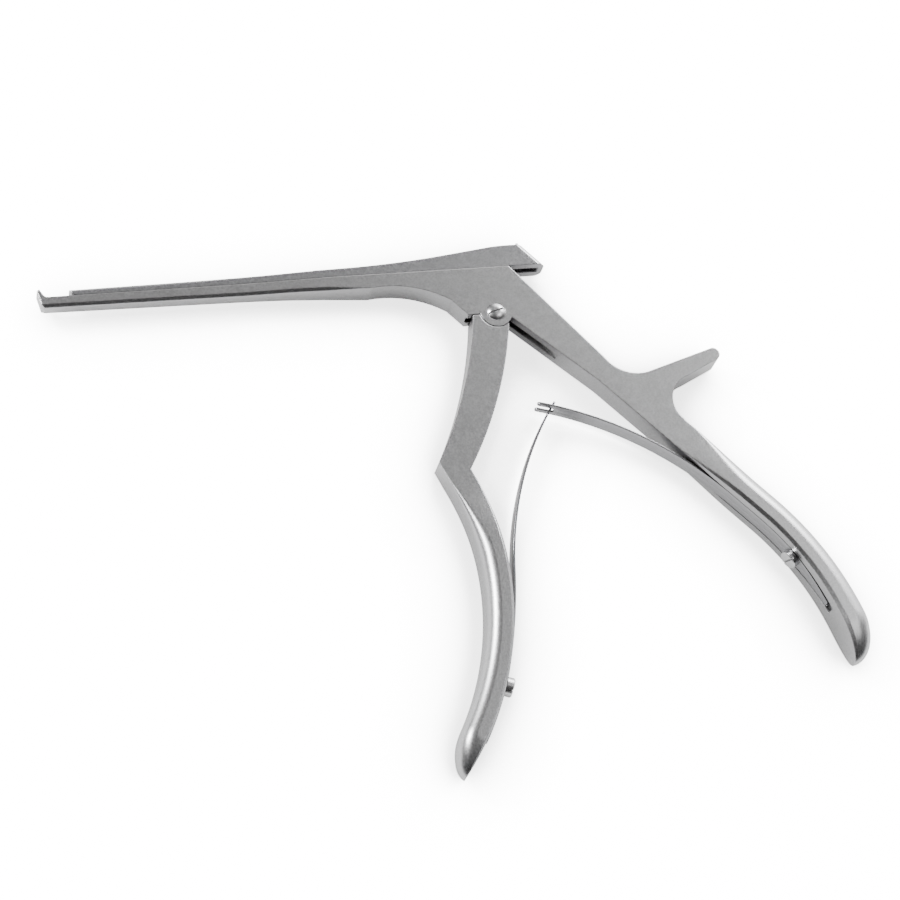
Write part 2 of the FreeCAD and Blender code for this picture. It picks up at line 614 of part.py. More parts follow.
# The sliding rail: a narrow neck with two wide lugs
rail_left = "-(rail_start + rail_length)"
neck = draw_outline(
    new_sketch(frame, "RailNeckOutline", "XZ_Plane", "-rail_height"),
    box_corners(rail_left, f"{MIDDLE} - rail_neck / 2", "-rail_start", f"{MIDDLE} + rail_neck / 2"),
)
extrude(frame, "Pad", neck, "RailNeck", "rail_neck_height + rail_head_height", flipped=True)
for name, left in (("Front", rail_left), ("Rear", "-(rail_start + lug_length)")):
    lug = draw_outline(
        new_sketch(frame, f"Rail{name}LugOutline", "XZ_Plane", "-(rail_height + rail_neck_height)"),
        box_corners(left, f"{MIDDLE} - rail_head / 2", f"{left} + lug_length", f"{MIDDLE} + rail_head / 2"),
    )
    extrude(frame, "Pad", lug, f"Rail{name}Lug", "rail_head_height", flipped=True)

# The central slot that the tongue swings in, with its run-out in the rear arm
slot = draw_outline(
    new_sketch(frame, "TongueSlotOutline", "XY_Plane", MIDDLE),
    [
        ("-slot_half", "rail_height + frame_thickness"),
        ("-slot_half", "slot_front_y"),
        ("-(lobe_reach - slot_front_set)", "slot_front_mid"),
        ("-(lobe_reach + slot_flare)", "-lobe_drop"),
        ("-(lobe_reach + slot_flare)", "-(slot_runout_y + frame_thickness)"),
        ("slot_runout_x", "-(slot_runout_y + frame_thickness)"),
        ("slot_runout_x", "-slot_runout_y"),
        ("slot_rear_x", "slot_rear_y"),
        ("slot_half", "rail_height + frame_thickness"),
    ],
)
extrude(frame, "Pocket", slot, "TongueSlot", "slot_width", both_ways=True)

# Seats of the pivot screw: counterbore, smooth bore and threaded bore
for name, lift, radius in (
    ("PivotThreadBore", "-frame_thickness", "pivot_thread + screw_fit"),
    ("PivotSmoothBore", CHEEK, "pivot_shank + screw_fit"),
    ("PivotCounterbore", "frame_thickness - pivot_head_sink", "pivot_head + screw_fit"),
):
    circle = draw_circle(new_sketch(frame, f"{name}Circle", "XY_Plane", lift), "0", "0", radius)
    extrude(frame, "Pocket", circle, name, "3 * frame_thickness", flipped=True)


def plain(name, shape):
    """Keep a shape that Part's functions made from the sheet's sizes."""
    feature = doc.addObject("Part::Feature", name)
    feature.Shape = shape
    feature.Placement = shape.Placement
    return feature


def joined(label, *parts):
    """Fuse several shapes into one solid."""
    fusion = doc.addObject("Part::MultiFuse", label)
    fusion.Shapes = list(parts)
    fusion.Refine = True
    doc.recompute()
    return fusion


def cut(label, base, tool):
    """Take one shape away from another."""
    rest = doc.addObject("Part::Cut", label)
    rest.Base = base
    rest.Tool = tool
    rest.Refine = True
    doc.recompute()
    return rest


def ribbon(path, first, last, above, below, width):
    """A strip that follows a grip's inner face, from above it to below it."""
    middle_z = size("frame_thickness") / 2 - width / 2
    runs = sorted({first, min(max(path.straight, first), last), last})
    outer = []
    inner = []
    for start, end in zip(runs, runs[1:]):
        half_way = (start + end) / 2
        for depth, edges in ((-above, outer), (below, inner)):
            ends = [path.point(start, depth), path.point(half_way, depth), path.point(end, depth)]
            straight = end <= path.straight
            edges.append(Part.LineSegment(ends[0], ends[2]) if straight else Part.Arc(*ends))
    caps = [
        Part.LineSegment(path.point(first, -above), path.point(first, below)),
        Part.LineSegment(path.point(last, -above), path.point(last, below)),
    ]
    shapes = [edge.toShape() for edge in outer + inner + caps]
    strip = Part.Face(Part.Wire(Part.__sortEdges__(shapes))).extrude(Vector(0, 0, width))
    strip.translate(Vector(0, 0, middle_z))
    return strip


def screw_bore(path, place, length):
    """The bore under a spring screw, square to the grip's inner face."""
    run = path.length - place
    start = path.point(run, -size("frame_thickness"))
    reach = size("frame_thickness") + length
    middle = Vector(0, 0, size("frame_thickness") / 2)
    radius = size("spring_screw_shank") + size("screw_fit")
    return Part.makeCylinder(radius, reach, start + middle, path.inward(run))


rear_root = bearing(90 - size("arm_slope"))
rear_depth = size("rear_grip_depth")
rear_shape = grip_loft(
    rear_path, rear_depth, rear_depth, size("rear_grip_edge"), size("rear_grip_round"), rear_root
)
rear_grip = plain("RearGrip", rear_shape)
forging = joined("RearForging", frame, rear_grip)


def between(low, high, fraction):
    """Value part of the way between two."""
    return low + (high - low) * fraction


def shaft_half_width(x):
    """Half the shaft's width at a place along it, seen from above."""
    tip, mid, full = size("shaft_tip_width"), size("shaft_mid_width"), size("frame_thickness")
    start, end = -size("flare_start"), -size("flare_end")
    far_left = -(size("shaft_reach") + 4 * size("foot_height"))
    if x <= start:
        return between(tip, mid, (x - far_left) / (start - far_left)) / 2
    along = min((x - start) / (end - start), 1.0)
    eased = 2 * along ** 2 if along < 0.5 else 1 - 2 * (1 - along) ** 2
    return min(between(mid / 2, full / 2 + size("flare_lift"), eased), full / 2)


def shaft_bottom(x):
    """Height of the lower shaft's underside at a place along it."""
    heel = -(size("shaft_reach") + size("foot_front") - size("foot_heel"))
    middle, root = -size("shaft_mid_reach"), -size("throat_start")
    if x < middle:
        depth = between(size("shaft_tip_depth"), size("shaft_mid_depth"), (x - heel) / (middle - heel))
    else:
        depth = between(size("shaft_mid_depth"), size("shaft_root_depth"), (x - middle) / (root - middle))
    return size("rail_height") - depth


FLARE_STATIONS = 8


def bottom_bevel(side):
    """Wedge that takes off one of the lower shaft's bottom edges and fades out at the throat."""
    end = -size("throat_start") - size("shaft_edge")
    start = -size("flare_start")
    fade = -size("shaft_edge_fade")
    stations = [-(size("shaft_reach") + 2 * size("foot_front"))]
    stations += [between(start, end, number / FLARE_STATIONS) for number in range(FLARE_STATIONS + 1)]
    stations = sorted(stations + [-size("shaft_mid_reach"), fade])
    bevel = size("shaft_edge")
    spare = bevel
    sections = []
    for x in stations:
        taken = bevel * min(1.0, (x + size("throat_start")) / (fade + size("throat_start")))
        low = shaft_bottom(x)
        rim = shaft_half_width(x)
        corners = [
            Vector(x, low + taken + spare, rim + spare),
            Vector(x, low - spare, rim - taken - spare),
            Vector(x, low - spare, rim + spare),
        ]
        for corner in corners:
            corner.z = size("frame_thickness") / 2 + side * corner.z
        sections.append(Part.makePolygon(corners + corners[:1]))
    return Part.makeLoft(sections, True, True)


GROOVE_CORNER_STEPS = 3


def groove_corner(side):
    """What a rounded lower corner of the rear groove leaves standing."""
    along = bearing(rear_path.heading_at(groove_low)) * -1
    inward = rear_path.inward(groove_low)
    start = rear_path.point(groove_low) - inward * 2 * groove_depth
    middle = size("frame_thickness") / 2
    half = groove_width / 2
    places = []
    for step in range(GROOVE_CORNER_STEPS + 1):
        turned = math.radians(90 * step / GROOVE_CORNER_STEPS)
        places.append((corner - corner * math.cos(turned), half - corner + corner * math.sin(turned)))
    places += [(corner, half + corner), (-corner, half + corner), (-corner, half - corner)]
    corners = []
    for reach, across in places:
        place = start + along * reach
        corners.append(Vector(place.x, place.y, middle + side * across))
    return Part.Face(Part.makePolygon(corners + corners[:1])).extrude(inward * 4 * groove_depth)


leaf_low = rear_path.length - size("rear_leaf_end")
groove_low = leaf_low + size("leaf_groove_end")
groove_high = leaf_low - size("leaf_groove_start")
groove_depth = size("leaf_groove_depth")
channel_width = size("leaf_width") + 2 * size("leaf_play")
groove_width = size("leaf_groove_width")
corner = size("leaf_groove_corner")
wide_groove = ribbon(rear_path, groove_high, groove_low, groove_depth, groove_depth, groove_width)
channel = ribbon(
    rear_path,
    groove_high - size("leaf_channel"),
    groove_high + corner,
    groove_depth,
    groove_depth,
    channel_width,
)
groove_shape = wide_groove.cut([groove_corner(1), groove_corner(-1)]).fuse(channel)
rear_bore_depth = size("spring_screw_length") + size("leaf_groove_depth")
rear_bore = screw_bore(rear_path, size("rear_screw_place"), rear_bore_depth)
groove = plain("SpringGroove", groove_shape.fuse(rear_bore))
bevels = plain("ShaftBottomBevels", bottom_bevel(1).fuse(bottom_bevel(-1)))
bevelled = cut("BevelledForging", forging, bevels)
body = cut("body", bevelled, groove)


# Piece: upper slide

slide = new_body("upper_slide")
REAR_LEAN = "(slide_end - slide_corner_x - slide_corner_run) / (slide_corner_height - slide_corner_drop)"
SLIDE_CORNERS = [
    (f"-({SLIDE_FRONT} - foot_fillet)", "rail_height"),
    (f"-({SLIDE_FRONT} + foot_fillet * sin(jaw_angle))", "rail_height + foot_fillet * cos(jaw_angle)"),
    (f"-({SLIDE_FRONT} + slide_tip_height * tan(jaw_angle))", "rail_height + slide_tip_height"),
    (
        "-slide_waist_reach",
        "rail_height + slide_waist_height",
        "-slide_sweep_x",
        "rail_height + slide_sweep_height",
    ),
    ("-slide_shoulder_x", "rail_height + slide_shoulder_height"),
    (
        "slide_crown_x",
        "rail_height + slide_crown_height",
        "slide_top_x",
        "rail_height + slide_top_height",
    ),
    (
        "slide_corner_x",
        "rail_height + slide_corner_height",
        "slide_corner_x + slide_corner_run * sin(45)",
        "rail_height + slide_corner_height - slide_corner_drop * (1 - sin(45))",
    ),
    ("slide_corner_x + slide_corner_run", "rail_height + slide_corner_height - slide_corner_drop"),
    ("slide_end", "rail_height"),
]
outline = draw_outline(new_sketch(slide, "SlideOutline", "XY_Plane"), SLIDE_CORNERS)
extrude(slide, "Pad", outline, "SlidePlate", "frame_thickness")
relieve_sides(slide, "Slide")

# Channel for the rail: a neck groove, and wide runs that trap the lugs
channel_end = "-(rail_start - (jaw_gap - bite_reserve) - rail_play)"
channel = draw_outline(
    new_sketch(slide, "ChannelNeckOutline", "XZ_Plane", "-rail_height"),
    box_corners(
        "-(rail_start + rail_length + entry_shift + rail_play)",
        f"{MIDDLE} - rail_neck / 2 - rail_play",
        channel_end,
        f"{MIDDLE} + rail_neck / 2 + rail_play",
    ),
)
extrude(slide, "Pocket", channel, "ChannelNeck", "rail_neck_height + rail_head_height + rail_play")
for name, lug_left in (("Front", rail_left), ("Rear", "-(rail_start + lug_length)")):
    wide = draw_outline(
        new_sketch(slide, f"Channel{name}RunOutline", "XZ_Plane", "-(rail_height + rail_neck_height - rail_play)"),
        box_corners(
            f"{lug_left} - entry_shift - rail_play",
            f"{MIDDLE} - rail_head / 2 - rail_play",
            f"{lug_left} + lug_length + jaw_gap - bite_reserve + rail_play",
            f"{MIDDLE} + rail_head / 2 + rail_play",
        ),
    )
    extrude(slide, "Pocket", wide, f"Channel{name}Run", "rail_head_height + 2 * rail_play")
    window = draw_outline(
        new_sketch(slide, f"Channel{name}WindowOutline", "XZ_Plane", "-rail_height"),
        box_corners(
            f"{lug_left} - entry_shift - rail_play",
            f"{MIDDLE} - rail_head / 2 - rail_play",
            f"{lug_left} - entry_shift + lug_length + rail_play",
            f"{MIDDLE} + rail_head / 2 + rail_play",
        ),
    )
    extrude(slide, "Pocket", window, f"Channel{name}Window", "rail_neck_height + rail_head_height + rail_play")

# Pocket for the finger, the lightening slot behind it and the bite cup
STROKE = "(jaw_gap - bite_reserve)"
pocket = draw_outline(
    new_sketch(slide, "FingerPocketOutline", "XY_Plane", MIDDLE),
    box_corners(
        f"{STROKE} / 2 - finger_end - finger_play",
        "rail_height - frame_thickness",
        f"{STROKE} / 2 + finger_end + finger_play",
        "finger_radius + finger_end + pocket_headroom",
    ),
)
extrude(slide, "Pocket", pocket, "FingerPocket", "slot_width", both_ways=True)
rear_slot_left = f"{STROKE} / 2 + finger_end + pocket_wall"
rear_slot = draw_outline(
    new_sketch(slide, "RearSlotOutline", "XY_Plane", MIDDLE),
    [
        (rear_slot_left, "rail_height - frame_thickness"),
        ("slide_end - rear_slot_wall", "rail_height - frame_thickness"),
        ("slide_end - rear_slot_wall", "rail_height"),
        (f"slide_end - rear_slot_wall - rear_slot_depth * {REAR_LEAN}", "rail_height + rear_slot_depth"),
        (rear_slot_left, "rail_height + rear_slot_depth"),
    ],
)
extrude(slide, "Pocket", rear_slot, "RearSlot", "slot_width", both_ways=True)
cup = draw_outline(
    new_sketch(slide, "BiteCupOutline", "YZ_Plane", f"-({SLIDE_FRONT} - cup_length)"),
    [
        ("rail_height - frame_thickness", f"{MIDDLE} - cup_width / 2"),
        ("rail_height", f"{MIDDLE} - cup_width / 2", "rail_height + cup_depth", MIDDLE),
        ("rail_height", f"{MIDDLE} + cup_width / 2"),
        ("rail_height - frame_thickness", f"{MIDDLE} + cup_width / 2"),
    ],
)
extrude(slide, "Pocket", cup, "BiteCup", "2 * cup_length")

# Rounded rear corners, seat of the stop pin in the crown and rounded top edges
rear_down = bearing(math.degrees(math.atan(value(REAR_LEAN))) - 90)


def slide_end_round(side):
    """Prism along the slanted rear face that rounds one of its two upright corners."""
    middle = size("frame_thickness") / 2
    radius = size("slide_end_round")
    outside = middle + radius

    def at(x, z):
        return Vector(x, size("rail_height"), middle + side * z)

    end = size("slide_end")
    inset = radius * (1 - math.sqrt(0.5))
    arc = Part.Arc(at(end, middle - radius), at(end - inset, middle - inset), at(end - radius, middle))
    edges = [
        arc.toShape(),
        Part.LineSegment(at(end - radius, middle), at(end - radius, outside)).toShape(),
        Part.LineSegment(at(end - radius, outside), at(end + radius, outside)).toShape(),
        Part.LineSegment(at(end + radius, outside), at(end + radius, middle - radius)).toShape(),
        Part.LineSegment(at(end + radius, middle - radius), at(end, middle - radius)).toShape(),
    ]
    return Part.Face(Part.Wire(edges)).extrude(rear_down * -2 * size("slide_corner_height"))


pin_place = Vector(
    value("slide_corner_x - pin_set"),
    value("rail_height + slide_corner_height + pin_stand - pin_length"),
    value(MIDDLE),
)
pin_hole = doc.addObject("Part::Cylinder", "PinHole")
pin_hole.setExpression("Radius", bound("pin_radius + screw_fit"))
pin_hole.setExpression("Height", bound("2 * pin_length"))
pin_hole.Placement = FreeCAD.Placement(pin_place, FreeCAD.Rotation(Vector(0, 0, 1), Vector(0, 1, 0)))


def slide_top(x):
    """Height of the slide's top at a place along its straight front part."""
    front = -(value(SLIDE_FRONT) + size("slide_tip_height") * math.tan(math.radians(size("jaw_angle"))))
    share = (x - front) / (-size("slide_waist_reach") - front)
    return size("rail_height") + between(size("slide_tip_height"), size("slide_waist_height"), share)


ROUND_STEPS = 3


def slide_edge_round(side):
    """Strip that rounds one of the slide's top edges along the shaft and fades out at its waist."""
    start, end = -size("flare_start"), -size("slide_waist_reach")
    fade = -size("slide_edge_fade")
    stations = [between(start, end, number / FLARE_STATIONS) for number in range(FLARE_STATIONS + 1)]
    stations = [-(size("shaft_reach") + size("foot_height")), fade] + stations
    middle = size("frame_thickness") / 2
    sections = []
    for x in stations:
        faded = max(0.0, (x - fade) / (end - fade))
        radius = between(size("slide_edge"), size("slide_edge_end"), faded)
        top, rim = slide_top(x), shaft_half_width(x)
        corners = []
        for step in range(ROUND_STEPS + 1):
            angle = math.radians(90 * step / ROUND_STEPS)
            up = top - radius + radius * math.sin(angle)
            corners.append(Vector(x, up, middle + side * (rim - radius + radius * math.cos(angle))))
        corners.append(Vector(x, top + radius, middle + side * (rim - radius)))
        corners.append(Vector(x, top + radius, middle + side * (rim + radius)))
        corners.append(Vector(x, top - radius, middle + side * (rim + radius)))
        sections.append(Part.makePolygon(corners + corners[:1]))
    return Part.makeLoft(sections, True, True)


rounds = slide_end_round(1).fuse([slide_end_round(-1), slide_edge_round(1), slide_edge_round(-1)])
rounded_slide = cut("RoundedSlide", slide, plain("SlideRounds", rounds))
slide_piece = cut("BoredSlide", rounded_slide, pin_hole)


def turned(body, name, corners):
    """A body of revolution round its own Z axis."""
    sketch = draw_outline(new_sketch(body, f"{name}Profile", "XZ_Plane"), corners)
    revolution = body.newObject("PartDesign::Revolution", name)
    revolution.Profile = sketch
    revolution.ReferenceAxis = (sketch, ["V_Axis"])
    revolution.Angle = 360
    sketch.Visibility = False
    body.Tip = revolution
    doc.recompute()


pin = new_body("slide_pin")
PIN_BEVEL = "pin_radius / 3"
turned(pin, "PinTurning", [
    ("0", "0"),
    ("pin_radius", "0"),
    ("pin_radius", f"pin_length - {PIN_BEVEL}"),
    (f"pin_radius - {PIN_BEVEL}", "pin_length"),
    ("0", "pin_length"),
])
pin.Placement = pin_hole.Placement
doc.recompute()


# Piece: front handle, made from the tongue, the arm and the front grip

LEAN = f"asin({STROKE} / (2 * finger_radius))"


def leaning(upward, across):
    """A tongue point: along the finger's axis and across it, leaning back as at rest."""
    return (
        f"({upward}) * sin({LEAN}) + ({across}) * cos({LEAN})",
        f"({upward}) * cos({LEAN}) - ({across}) * sin({LEAN})",
    )


handle = new_body("moving_forging")
END_FOOT = "finger_radius - sqrt(finger_end ^ 2 - finger_neck ^ 2)"
TONGUE_CORNERS = [
    leaning(END_FOOT, "-finger_neck") + leaning("finger_radius + finger_end", "0"),
    leaning(END_FOOT, "finger_neck"),
    leaning("finger_radius - finger_neck_length", "finger_neck"),
    leaning("hub_rise", "hub_half"),
    leaning("-tongue_root", "hub_half / 2"),
    leaning("-tongue_root", "-hub_half"),
    leaning("hub_rise", "-hub_half"),
    leaning("finger_radius - finger_neck_length", "-finger_neck"),
]
outline = draw_outline(new_sketch(handle, "TongueOutline", "XY_Plane", MIDDLE), TONGUE_CORNERS)
extrude(handle, "Pad", outline, "Tongue", "slot_width - 2 * tongue_play", both_ways=True)

HOLLOW = "(ear_radius + ear_gap)"
SHOULDER_Y = "-(lobe_drop + stop_gap)"
ARM_CORNERS = [
    ("-shoulder_reach", SHOULDER_Y),
    (
        f"-sqrt({HOLLOW} ^ 2 - (lobe_drop + stop_gap) ^ 2)",
        SHOULDER_Y,
        "0",
        f"-{HOLLOW}",
    ),
    (f"{HOLLOW} * cos(hollow_end_angle)", f"-{HOLLOW} * sin(hollow_end_angle)"),
    (
        f"({HOLLOW} + heel_land) * cos(hollow_end_angle)",
        f"-({HOLLOW} + heel_land) * sin(hollow_end_angle)",
        "-arm_rear_mid_x",
        "-arm_rear_mid_y",
    ),
    ("-elbow_in_x", "-elbow_in_y"),
    ("-elbow_out_x", "-elbow_out_y", "-arm_front_mid_x", "-arm_front_mid_y"),
]
outline = draw_outline(new_sketch(handle, "ArmOutline", "XY_Plane"), ARM_CORNERS)
extrude(handle, "Pad", outline, "Arm", "frame_thickness")
circle = draw_circle(
    new_sketch(handle, "PivotBoreCircle", "XY_Plane", MIDDLE), "0", "0", "pivot_shank + pivot_bore_play"
)
extrude(handle, "Pocket", circle, "PivotBore", "2 * frame_thickness", both_ways=True)

elbow_in = Vector(-size("elbow_in_x"), -size("elbow_in_y"), 0)
elbow_out = Vector(-size("elbow_out_x"), -size("elbow_out_y"), 0)
elbow = elbow_out - elbow_in
elbow_depth = elbow.Length
front_shape = grip_loft(
    front_path,
    elbow_depth,
    size("front_grip_depth"),
    size("front_grip_edge"),
    size("front_grip_round"),
    elbow.normalize(),
)
front_grip = plain("FrontGrip", front_shape)
front_forging = joined("FrontForging", handle, front_grip)
front_low = front_path.length - size("front_leaf_end")
front_land = ribbon(
    front_path,
    front_low - size("front_leaf_seat") - size("grip_tip_length"),
    front_low + size("leaf_play"),
    size("leaf_groove_depth"),
    size("leaf_land_depth"),
    channel_width,
)
front_bore = screw_bore(front_path, size("front_screw_place"), size("spring_screw_length"))
front_handle = cut("front_handle", front_forging, plain("FrontLand", front_land.fuse(front_bore)))


# Piece: pivot screw, turned round the pivot axis

def driver_cut(body, name, top, angle):
    """Cut a driver slot across the top of a head."""
    half = "driver_slot / 2"
    reach = "pivot_head * 2"
    corners = []
    for along, across in (("-", "-"), ("", "-"), ("", ""), ("-", "")):
        corners.append((
            f"{along}({reach}) * cos({angle}) - ({across}({half})) * sin({angle})",
            f"{along}({reach}) * sin({angle}) + ({across}({half})) * cos({angle})",
        ))
    sketch = draw_outline(new_sketch(body, f"{name}Outline", "XY_Plane", f"{top} - driver_depth"), corners)
    extrude(body, "Pocket", sketch, name, "4 * driver_depth", flipped=True)


pivot_screw = new_body("pivot_screw")
HEAD_FOOT = "frame_thickness - pivot_head_sink"
HEAD_TOP = "frame_thickness + pivot_head_stand"
turned(pivot_screw, "PivotScrewTurning", [
    ("0", "0"),
    ("pivot_thread", "0"),
    ("pivot_thread", CHEEK),
    ("pivot_shank", CHEEK),
    ("pivot_shank", HEAD_FOOT),
    ("pivot_head", HEAD_FOOT),
    (
        "pivot_head",
        "frame_thickness",
        "pivot_head * sin(45)",
        "frame_thickness + pivot_head_stand * sin(45)",
    ),
    ("0", HEAD_TOP),
])
driver_cut(pivot_screw, "PivotDriverSlot", HEAD_TOP, "pivot_slot_angle")


# Pieces: the two leaf springs with their screws

def leaf_spring(label, path, end, seat, depth, free_bends, screw_place, tip_cut):
    """A leaf seated on a grip's face and bending away from it, with its screw hole."""
    edges, place, heading = leaf_seat(path, end, seat, depth)
    for radius, turn in free_bends:
        edge, place, heading = bend(place, heading, radius, turn)
        edges.append(edge)
    leaf = thicken(edges, size("leaf_width"))
    bore = screw_bore(path, screw_place, size("leaf_thickness") * 2)
    tools = bore.fuse([tip_cut(place, heading), end_taper(path, end, 1), end_taper(path, end, -1)])
    return cut(label, plain(f"{label}_leaf", leaf), plain(f"{label}_cuts", tools))


def end_taper(path, end, side):
    """Wedge that narrows a leaf towards its lower end on one side."""
    low = path.length - end
    along = bearing(path.heading_at(low)) * -1
    inward = path.inward(low)
    start = path.point(low) - inward * size("leaf_width")
    middle = size("frame_thickness") / 2
    half, narrow = size("leaf_width") / 2, size("leaf_end_width") / 2
    length = size("leaf_taper")
    corners = []
    for reach, across in ((-narrow, narrow), (0, narrow), (length, half), (length, 2 * half), (-narrow, 2 * half)):
        corner = start + along * reach
        corners.append(Vector(corner.x, corner.y, middle + side * across))
    wedge = Part.Face(Part.makePolygon(corners + corners[:1]))
    return wedge.extrude(inward * 2 * size("leaf_width"))


def tip_box(place, heading, length, bottom, top):
    """A block over the end of a leaf, between two heights."""
    thick = size("frame_thickness")
    block = Part.makeBox(2 * length, thick, top - bottom, Vector(-length, -thick / 2, bottom))
    block.rotate(Vector(0, 0, 0), Vector(0, 0, 1), heading)
    block.translate(place)
    return block


def fork_cut(place, heading):
    """The notch that leaves two prongs at the rear leaf's tip."""
    middle = size("frame_thickness") / 2
    half = size("fork_gap") / 2
    return tip_box(place, heading, size("fork_depth"), middle - half, middle + half)


def tongue_cut(place, heading):
    """The two steps that leave a narrow tongue at the front leaf's tip."""
    middle = size("frame_thickness") / 2
    half = size("tongue_leaf_width") / 2
    length = size("tongue_leaf_length")
    low = tip_box(place, heading, length, middle - size("leaf_width"), middle - half)
    high = tip_box(place, heading, length, middle + half, middle + size("leaf_width"))
    return low.fuse(high)


leaf_lift = size("leaf_bed_gap") + size("leaf_thickness") / 2
rear_seat_depth = size("leaf_groove_depth") - leaf_lift
front_seat_depth = size("leaf_land_depth") - leaf_lift
rear_spring = leaf_spring(
    "rear_spring",
    rear_path,
    size("rear_leaf_end"),
    size("rear_leaf_seat"),
    rear_seat_depth,
    [(size("rear_leaf_radius"), size("rear_leaf_turn"))],
    size("rear_screw_place"),
    fork_cut,
)
front_spring = leaf_spring(
    "front_spring",
    front_path,
    size("front_leaf_end"),
    size("front_leaf_seat"),
    front_seat_depth,
    [
        (size("front_leaf_low_radius"), size("front_leaf_low_turn")),
        (size("front_leaf_high_radius"), -size("front_leaf_high_turn")),
    ],
    size("front_screw_place"),
    tongue_cut,
)


def spring_screw(label, path, screw_place, leaf_depth):
    """A cheese-headed screw through a leaf into a grip, standing square to its face."""
    screw = new_body(label)
    turned(screw, f"{label}_turning", [
        ("0", "-spring_screw_length"),
        ("spring_screw_shank", "-spring_screw_length"),
        ("spring_screw_shank", "0"),
        ("spring_screw_head", "0"),
        ("spring_screw_head", "spring_screw_height - driver_slot / 2"),
        ("spring_screw_head - driver_slot / 2", "spring_screw_height"),
        ("0", "spring_screw_height"),
    ])
    driver_cut(screw, f"{label}_slot", "spring_screw_height", "pivot_slot_angle")
    run = path.length - screw_place
    place = path.point(run, leaf_depth - size("leaf_thickness") / 2 - size("screw_head_gap"))
    place.z = size("frame_thickness") / 2
    outward = path.inward(run) * -1
    screw.Placement = FreeCAD.Placement(place, FreeCAD.Rotation(Vector(0, 0, 1), outward))
    doc.recompute()
    return screw


rear_screw = spring_screw("rear_spring_screw", rear_path, size("rear_screw_place"), rear_seat_depth)
front_screw = spring_screw("front_spring_screw", front_path, size("front_screw_place"), front_seat_depth)


# Hand over the pieces

PIECES = {
    "body": body,
    "upper_slide": slide_piece,
    "slide_pin": pin,
    "front_handle": front_handle,
    "pivot_screw": pivot_screw,
    "rear_spring": rear_spring,
    "rear_spring_screw": rear_screw,
    "front_spring": front_spring,
    "front_spring_screw": front_screw,
}

doc.recompute()
for each in doc.Objects:
    if "Invalid" in each.State or "Error" in each.State:
        raise RuntimeError(f"{each.Label} did not build: {each.State}")

os.makedirs(OUTPUT_FOLDER, exist_ok=True)
for node, piece in PIECES.items():
    piece.Label = node
    shape = piece.Shape
    if shape.isNull() or not shape.isValid():
        raise RuntimeError(f"{node} has no valid shape")
    if len(shape.Solids) != 1:
        raise RuntimeError(f"{node} is {len(shape.Solids)} solids instead of one")
    shape.exportStep(f"{OUTPUT_FOLDER}/{node}.step")
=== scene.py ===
"""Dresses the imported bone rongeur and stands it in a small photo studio.

The instrument lies on its side as packed: +X from the pivot to the rear handle, +Y from the
pivot up to the sliding plane, +Z up from the table. Lengths are in metres unless a name ends in
_mm or a docstring says millimetres, and angles are in degrees.
"""

from __future__ import annotations

import logging
from dataclasses import dataclass, field
from enum import Enum

import bpy
import numpy as np
from mathutils import Matrix, Vector


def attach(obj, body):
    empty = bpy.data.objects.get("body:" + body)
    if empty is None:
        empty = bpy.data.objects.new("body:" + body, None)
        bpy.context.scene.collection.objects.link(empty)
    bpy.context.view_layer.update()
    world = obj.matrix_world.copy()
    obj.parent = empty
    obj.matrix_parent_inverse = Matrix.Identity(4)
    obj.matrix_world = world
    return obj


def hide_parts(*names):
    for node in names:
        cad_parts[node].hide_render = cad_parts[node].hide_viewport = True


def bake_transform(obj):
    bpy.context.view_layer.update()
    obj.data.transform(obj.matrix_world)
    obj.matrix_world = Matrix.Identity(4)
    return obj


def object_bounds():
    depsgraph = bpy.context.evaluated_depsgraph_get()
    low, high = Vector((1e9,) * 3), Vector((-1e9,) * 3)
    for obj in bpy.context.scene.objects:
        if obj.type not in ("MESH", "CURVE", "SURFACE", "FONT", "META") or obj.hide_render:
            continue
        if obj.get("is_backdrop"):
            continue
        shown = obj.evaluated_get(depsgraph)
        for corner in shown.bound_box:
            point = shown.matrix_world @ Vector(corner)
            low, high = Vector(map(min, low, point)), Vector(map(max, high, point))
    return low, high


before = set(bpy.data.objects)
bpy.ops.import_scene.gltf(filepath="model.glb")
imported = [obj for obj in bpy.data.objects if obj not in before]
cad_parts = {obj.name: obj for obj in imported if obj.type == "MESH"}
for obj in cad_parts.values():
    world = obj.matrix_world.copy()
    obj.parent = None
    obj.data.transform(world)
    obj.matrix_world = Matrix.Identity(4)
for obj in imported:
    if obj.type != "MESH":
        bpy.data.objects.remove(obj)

LOG = logging.getLogger("bone_rongeur")
MM = 0.001
# Height of the plane that halves the instrument's thickness
MIDDLE_MM = 4.0
# Degrees swept by a rounding that stops short of its pole, where its rings would shrink to a point
NEARLY_QUARTER = 88
# Edges that bend by more than this many degrees stay sharp
SHARP_BEND = 40

Place = tuple[float, float, float]
Profile = tuple[tuple[float, float], ...]


# Small helpers


def linear(hex_colour: str) -> tuple[float, float, float, float]:
    """Turn an sRGB hex colour into the linear values that shaders take.

    Args:
        hex_colour: Six hex digits after a hash.

    Returns:
        Linear red, green and blue, and an alpha of one.
    """
    channels = np.array([int(hex_colour[at : at + 2], 16) for at in (1, 3, 5)]) / 255
    low = channels / 12.92
    high = ((channels + 0.055) / 1.055) ** 2.4
    return (*np.where(channels <= 0.04045, low, high).tolist(), 1.0)


